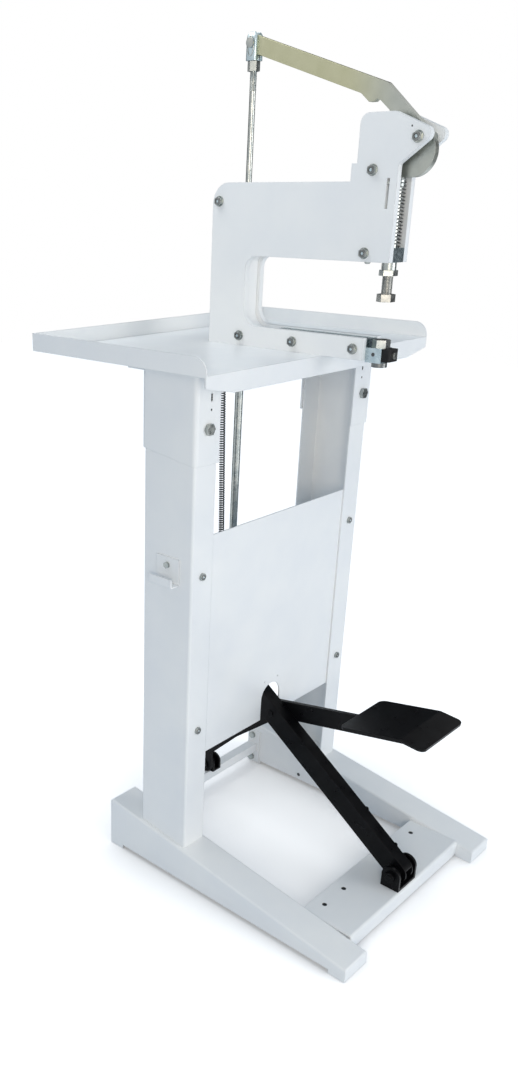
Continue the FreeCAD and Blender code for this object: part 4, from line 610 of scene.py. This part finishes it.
# %% Holes
FLOOR_HOLES_X, FLOOR_HOLES_Y, FLOOR_HOLES_Z = (-147, -87, 87, 147), -218, 33.4
FLOOR_DISC_RADIUS = 4.3
FOOT_HOLE_PLACE, FOOT_DISC_RADIUS = (184.6, 74, 19), 3.8
SLEEVE_MARKS_X, SLEEVE_MARKS_Z = (-210, 210), (872, 887.5, 891, 894.5)
SLEEVE_DISC_DEPTH, SLEEVE_DISC_RADIUS = 0.5, 1.9


def painted_shade_discs(name, body, places):
    """Thin discs of painted shade, each at a place, facing a direction, with a radius."""
    bm = bmesh.new()
    for place, direction, radius in places:
        turned(bm, place, direction, [(radius, 0.0), (radius, 0.1), (0.2, 0.1)], sides=20)
    # Each disc takes the dark spring steel finish as painted shade inside its hole.
    small_piece(name, bm, "spring_steel", body)


floor_holes = [((x, FLOOR_HOLES_Y, FLOOR_HOLES_Z), UP, FLOOR_DISC_RADIUS) for x in FLOOR_HOLES_X]
foot_holes = [(FOOT_HOLE_PLACE, LEFT, FOOT_DISC_RADIUS)]
painted_shade_discs("stand_hole_shade", "stand", floor_holes + foot_holes)
SLEEVE_FACE_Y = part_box("left_sleeve")[0].y / MILLIMETRE
marks = [((x, SLEEVE_FACE_Y + SLEEVE_DISC_DEPTH, z), FRONT, SLEEVE_DISC_RADIUS)
         for x in SLEEVE_MARKS_X for z in SLEEVE_MARKS_Z]
painted_shade_discs("sleeve_hole_shade", "head", marks)
print("dark holes:", len(floor_holes + foot_holes + marks))

# %% [markdown]
# ### Rounded fork with its clip
# The fork head's cheeks are round at the top, and a spring clip lies along its left cheek. The
# measured fork is square, so rings of points are stacked into round cheeks.

# %% Fork head
FORK_LOW, SHOULDER, CROWN_HEIGHT = 1363.2, 1391.0, 10.8
FORK_HALF, SLOT_HALF, SLOT_GAP = 10.0, 5.4, 5.5
TOP_HALF_DEPTH, TOP_OUTER = 4.5, 6.4
CHEEK_CORNER, CORNER_STEPS = 3.4, 6
CROWN_RINGS, CROWN_STEP_DEGREES = 9, 11.0
FORK_BASE = [(9.9, 0.0), (9.9, 6.2), (9.5, 6.6), (0.2, 6.6)]
CLIP_X, CLIP_Z, CLIP_HALF_WIDTH, CLIP_HALF_HEIGHT, CLIP_WIRE = -10.3, 1382.5, 5.6, 13.0, 0.7


def cheek_ring(bm, height, inner, outer, depth, corner):
    """A ring round one cheek: flat on the slot's side, rounded on the outer side."""
    spots = [(inner, -depth)]
    for start, y in ((-90, -depth + corner), (0, depth - corner)):
        for i in range(CORNER_STEPS + 1):
            a = math.radians(start + 90 / CORNER_STEPS * i)
            spots.append((outer - corner + corner * math.cos(a), y + corner * math.sin(a)))
    spots.append((inner, depth))
    return [bm.verts.new(Vector((x, y, height)) * MILLIMETRE) for x, y in spots]


def round_cheek(bm, mirror):
    """Stacks rings into one cheek, whose top is rounded; mirror is -1 for the left one."""
    rings = [(FORK_LOW, FORK_HALF, FORK_HALF)]
    for step in range(CROWN_RINGS):
        a = math.radians(CROWN_STEP_DEGREES * step)
        depth = TOP_HALF_DEPTH + (FORK_HALF - TOP_HALF_DEPTH) * math.cos(a)
        outer = TOP_OUTER + (FORK_HALF - TOP_OUTER) * math.cos(a)
        rings.append((SHOULDER + CROWN_HEIGHT * math.sin(a), depth, outer))
    loops = []
    for height, depth, outer in rings:
        corner = min(CHEEK_CORNER, outer - SLOT_GAP)
        loop = cheek_ring(bm, height, SLOT_HALF, outer, depth, corner)
        for vert in loop:
            vert.co.x *= mirror
            vert.co.y += ROD_Y * MILLIMETRE
        loops.append(loop)
    for first, second in zip(loops, loops[1:]):
        join_rings(bm, first, second)
    bm.faces.new(loops[0])
    bm.faces.new(loops[-1])


def fork_with_clip():
    bm = bmesh.new()
    for mirror in (-1.0, 1.0):
        round_cheek(bm, mirror)
    turned(bm, (0, ROD_Y, FORK_LOW), UP, FORK_BASE, sides=24)
    fork = small_piece("round_fork_head", bm, "blue_zinc_and_highlight", "rod")
    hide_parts("fork_head")
    bm = bmesh.new()
    steps = [math.tau * i / 32 for i in range(33)]
    clip = [Vector((CLIP_X, ROD_Y + CLIP_HALF_WIDTH * math.cos(a),
                    CLIP_Z + CLIP_HALF_HEIGHT * math.sin(a))) for a in steps]
    wire(bm, clip, CLIP_WIRE)
    small_piece("fork_clip", bm, "bright_zinc", "rod")


fork_with_clip()
print("fork: two round cheeks and a clip")

# %% [markdown]
# ## Where the photographer stood
# The camera was found by matching measured points of the feet, posts, panel, tray and head with
# their places in the picture. It stands left of the machine and in front of it, 1.17 m above the
# floor, and looks down by 23 degrees. The lens is a little shorter than the frame is high. It is
# shifted sideways, because the optical axis passes left of the machine. A larger shift fits this
# picture better, but every other view keeps the shift, and the machine would leave its frame.

# %% Camera
PICTURE_WIDTH, PICTURE_HEIGHT = 518, 1080
SENSOR_HEIGHT_MM = 36.0
FOCAL_PIXELS = 972.7
AXIS_PIXEL = (140.0, 617.5)
CAMERA_PLACE = Vector((-1.3555, -0.9325, 1.1694))
YAW, PITCH, ROLL = math.radians(45.98), math.radians(-23.37), math.radians(0.31)


def place_camera():
    data = bpy.data.cameras.new("photo_camera")
    data.sensor_fit = "VERTICAL"
    data.sensor_height = SENSOR_HEIGHT_MM
    data.lens = FOCAL_PIXELS / PICTURE_HEIGHT * data.sensor_height
    data.shift_x = (PICTURE_WIDTH / 2 - AXIS_PIXEL[0]) / PICTURE_HEIGHT
    data.shift_y = (AXIS_PIXEL[1] - PICTURE_HEIGHT / 2) / PICTURE_HEIGHT
    camera = bpy.data.objects.new("photo_camera", data)
    bpy.context.scene.collection.objects.link(camera)
    forward = Vector((math.sin(YAW) * math.cos(PITCH), math.cos(YAW) * math.cos(PITCH),
                      math.sin(PITCH)))
    level = Vector((math.cos(YAW), -math.sin(YAW), 0.0))
    up = level.cross(forward)
    across = level * math.cos(ROLL) + up * math.sin(ROLL)
    above = up * math.cos(ROLL) - level * math.sin(ROLL)
    turn = Matrix((across, above, -forward)).transposed().to_4x4()
    camera.matrix_world = Matrix.Translation(CAMERA_PLACE) @ turn
    bpy.context.scene.camera = camera
    return data


lens = place_camera()
print("lens %.1f mm, shift %.3f %.3f" % (lens.lens, lens.shift_x, lens.shift_y))

# %% [markdown]
# ## Studio
# The picture was taken on white paper in a bright room. A white world shows behind the machine and
# in its metal, a white floor keeps a soft shadow, and lamps make the front faces brighter than the
# left ones. Stronger lamps would also give a white background, but they would bleach the paint.

# %% Plain view of the colours
bpy.context.scene.view_settings.view_transform = "Standard"
print("view transform:", bpy.context.scene.view_settings.view_transform)

# %% [markdown]
# ### Floor
# The camera sees grey paper that takes the shadow of the lamps, with a white glow over it. The glow
# is weaker where the machine stands close, so a soft shadow lies under it. The machine itself gets
# its light from a plain, cooler paper.

# %% Floor
FLOOR_HALF_WIDTH = 6.0
FLOOR_DROP = -0.5 * MILLIMETRE
SHADE_REACH = 0.6
OPEN_FROM, OPEN_TO = 0.45, 1.0
GLOW_NEAR, GLOW_OPEN = 0.2, 0.68


def paper_floor():
    mesh = bpy.data.meshes.new("paper_floor")
    bm = bmesh.new()
    bmesh.ops.create_grid(bm, x_segments=4, y_segments=4, size=FLOOR_HALF_WIDTH)
    bm.to_mesh(mesh)
    bm.free()
    floor = bpy.data.objects.new("paper_floor", mesh)
    bpy.context.scene.collection.objects.link(floor)
    floor.location.z = FLOOR_DROP
    mesh.materials.append(white_paper())


def seen_directly(tree):
    """1 for rays from the camera, and for those that metal or glass sends on."""
    path = add_node(tree, "ShaderNodeLightPath", {}, {})
    first = {0: path.outputs["Is Camera Ray"], 1: path.outputs["Is Glossy Ray"]}
    either = add_node(tree, "ShaderNodeMath", {"operation": "MAXIMUM"}, first)
    second = {0: either.outputs[0], 1: path.outputs["Is Transmission Ray"]}
    return add_node(tree, "ShaderNodeMath", {"operation": "MAXIMUM"}, second).outputs[0]


def white_paper():
    """Paper that lights the object a little coolly, and looks white with a shadow."""
    material = bpy.data.materials.new("white_paper")
    material.use_nodes = True
    tree = material.node_tree
    tree.nodes.clear()
    lighting = add_node(tree, "ShaderNodeBsdfDiffuse", {}, {"Color": linear("#D5DEE8")}).outputs[0]
    shaded = add_node(tree, "ShaderNodeBsdfDiffuse", {}, {"Color": linear("#E8E8E8")}).outputs[0]
    near = add_node(tree, "ShaderNodeAmbientOcclusion", {"samples": 8}, {"Distance": SHADE_REACH})
    openness = {"Value": near.outputs["AO"], "From Min": OPEN_FROM, "From Max": OPEN_TO,
                "To Min": GLOW_NEAR, "To Max": GLOW_OPEN}
    strength = add_node(tree, "ShaderNodeMapRange", {}, openness).outputs["Result"]
    light = {"Color": (1, 1, 1, 1), "Strength": strength}
    glow = add_node(tree, "ShaderNodeEmission", {}, light).outputs[0]
    seen = add_node(tree, "ShaderNodeAddShader", {}, {0: shaded, 1: glow}).outputs[0]
    choice = {0: seen_directly(tree), 1: lighting, 2: seen}
    surface = add_node(tree, "ShaderNodeMixShader", {}, choice)
    output = add_node(tree, "ShaderNodeOutputMaterial", {}, {})
    tree.links.new(surface.outputs[0], output.inputs["Surface"])
    return material


paper_floor()
print("the floor is", 2 * FLOOR_HALF_WIDTH, "m wide")

# %% [markdown]
# ### Dark cards beside the set
# A white room leaves bright metal without an outline. Photographers stand dark cards beside the
# set, so that round bars get dark edges. These cards show only in glossy reflections: they throw no
# shadow and take no light from the paint.

# %% Dark cards
def dark_card(name, place, width, height, shade):
    """An upright card that faces the machine and is seen only by glossy rays."""
    mesh = bpy.data.meshes.new(name)
    bm = bmesh.new()
    bmesh.ops.create_grid(bm, x_segments=1, y_segments=1, size=0.5)
    bm.to_mesh(mesh)
    bm.free()
    material = bpy.data.materials.new(name)
    material.use_nodes = True
    material.node_tree.nodes.clear()
    tree = material.node_tree
    glow = add_node(tree, "ShaderNodeEmission", {}, {"Color": linear(shade), "Strength": 1.0})
    output = add_node(tree, "ShaderNodeOutputMaterial", {}, {})
    tree.links.new(glow.outputs[0], output.inputs["Surface"])
    mesh.materials.append(material)
    card = bpy.data.objects.new(name, mesh)
    bpy.context.scene.collection.objects.link(card)
    card.location = place
    card.scale = (width, height, 1.0)
    heading = math.atan2(place[1], place[0]) + math.radians(90)
    card.rotation_euler = (math.radians(90), 0.0, heading)
    card.visible_camera = card.visible_diffuse = card.visible_shadow = False


dark_card("left_card", (-0.45, 2.15, 1.3), width=1.4, height=2.8, shade="#3C3F41")
dark_card("right_card", (1.8, -1.2, 1.3), width=1.4, height=2.8, shade="#55585B")
dark_card("back_card", (2.3, 1.5, 1.8), width=2.2, height=4.2, shade="#44474A")
print("cards: two behind the machine, one in front of it on the right")

# %% [markdown]
# ### World and lamps
# The world gives an even and slightly cool light. A large lamp in front lights the front faces, a
# warmer one beside the camera lights the left faces, and a small one hangs over the rear of the
# tray.

# %% World and lamps
WORLD_LIGHT = 0.56
WORLD_COLOUR = "#E0F0FF"


def white_world():
    world = bpy.data.worlds.new("white_world")
    bpy.context.scene.world = world
    world.use_nodes = True
    tree = world.node_tree
    tree.nodes.clear()
    room = {"Color": linear(WORLD_COLOUR), "Strength": WORLD_LIGHT}
    lighting = add_node(tree, "ShaderNodeBackground", {}, room).outputs[0]
    pure = {"Color": (1, 1, 1, 1), "Strength": 1.0}
    white = add_node(tree, "ShaderNodeBackground", {}, pure).outputs[0]
    choice = {0: seen_directly(tree), 1: lighting, 2: white}
    surface = add_node(tree, "ShaderNodeMixShader", {}, choice)
    output = add_node(tree, "ShaderNodeOutputWorld", {}, {})
    tree.links.new(surface.outputs[0], output.inputs["Surface"])


def lamp(name, place, target, size, watts, colour):
    """A square lamp at a place, turned toward its target."""
    data = bpy.data.lights.new(name, "AREA")
    data.size = size
    data.energy = watts
    data.color = linear(colour)[:3]
    light = bpy.data.objects.new(name, data)
    bpy.context.scene.collection.objects.link(light)
    light.location = place
    light.rotation_euler = (Vector(target) - Vector(place)).to_track_quat("-Z", "Y").to_euler()


white_world()
MIDDLE, TRAY_REAR = (0.0, 0.0, 0.8), (-0.2, 0.12, 0.95)
lamp("front_lamp", (0.9, -2.9, 1.05), MIDDLE, size=1.4, watts=30.0, colour="#FFFDFC")
lamp("camera_lamp", (-2.5, -1.9, 1.35), MIDDLE, size=1.2, watts=29.0, colour="#FFF1E0")
lamp("tray_lamp", (-0.35, 0.5, 1.95), TRAY_REAR, size=0.6, watts=4.5, colour="#FFFFFF")
print("lamps:", [light.name for light in bpy.data.lights])
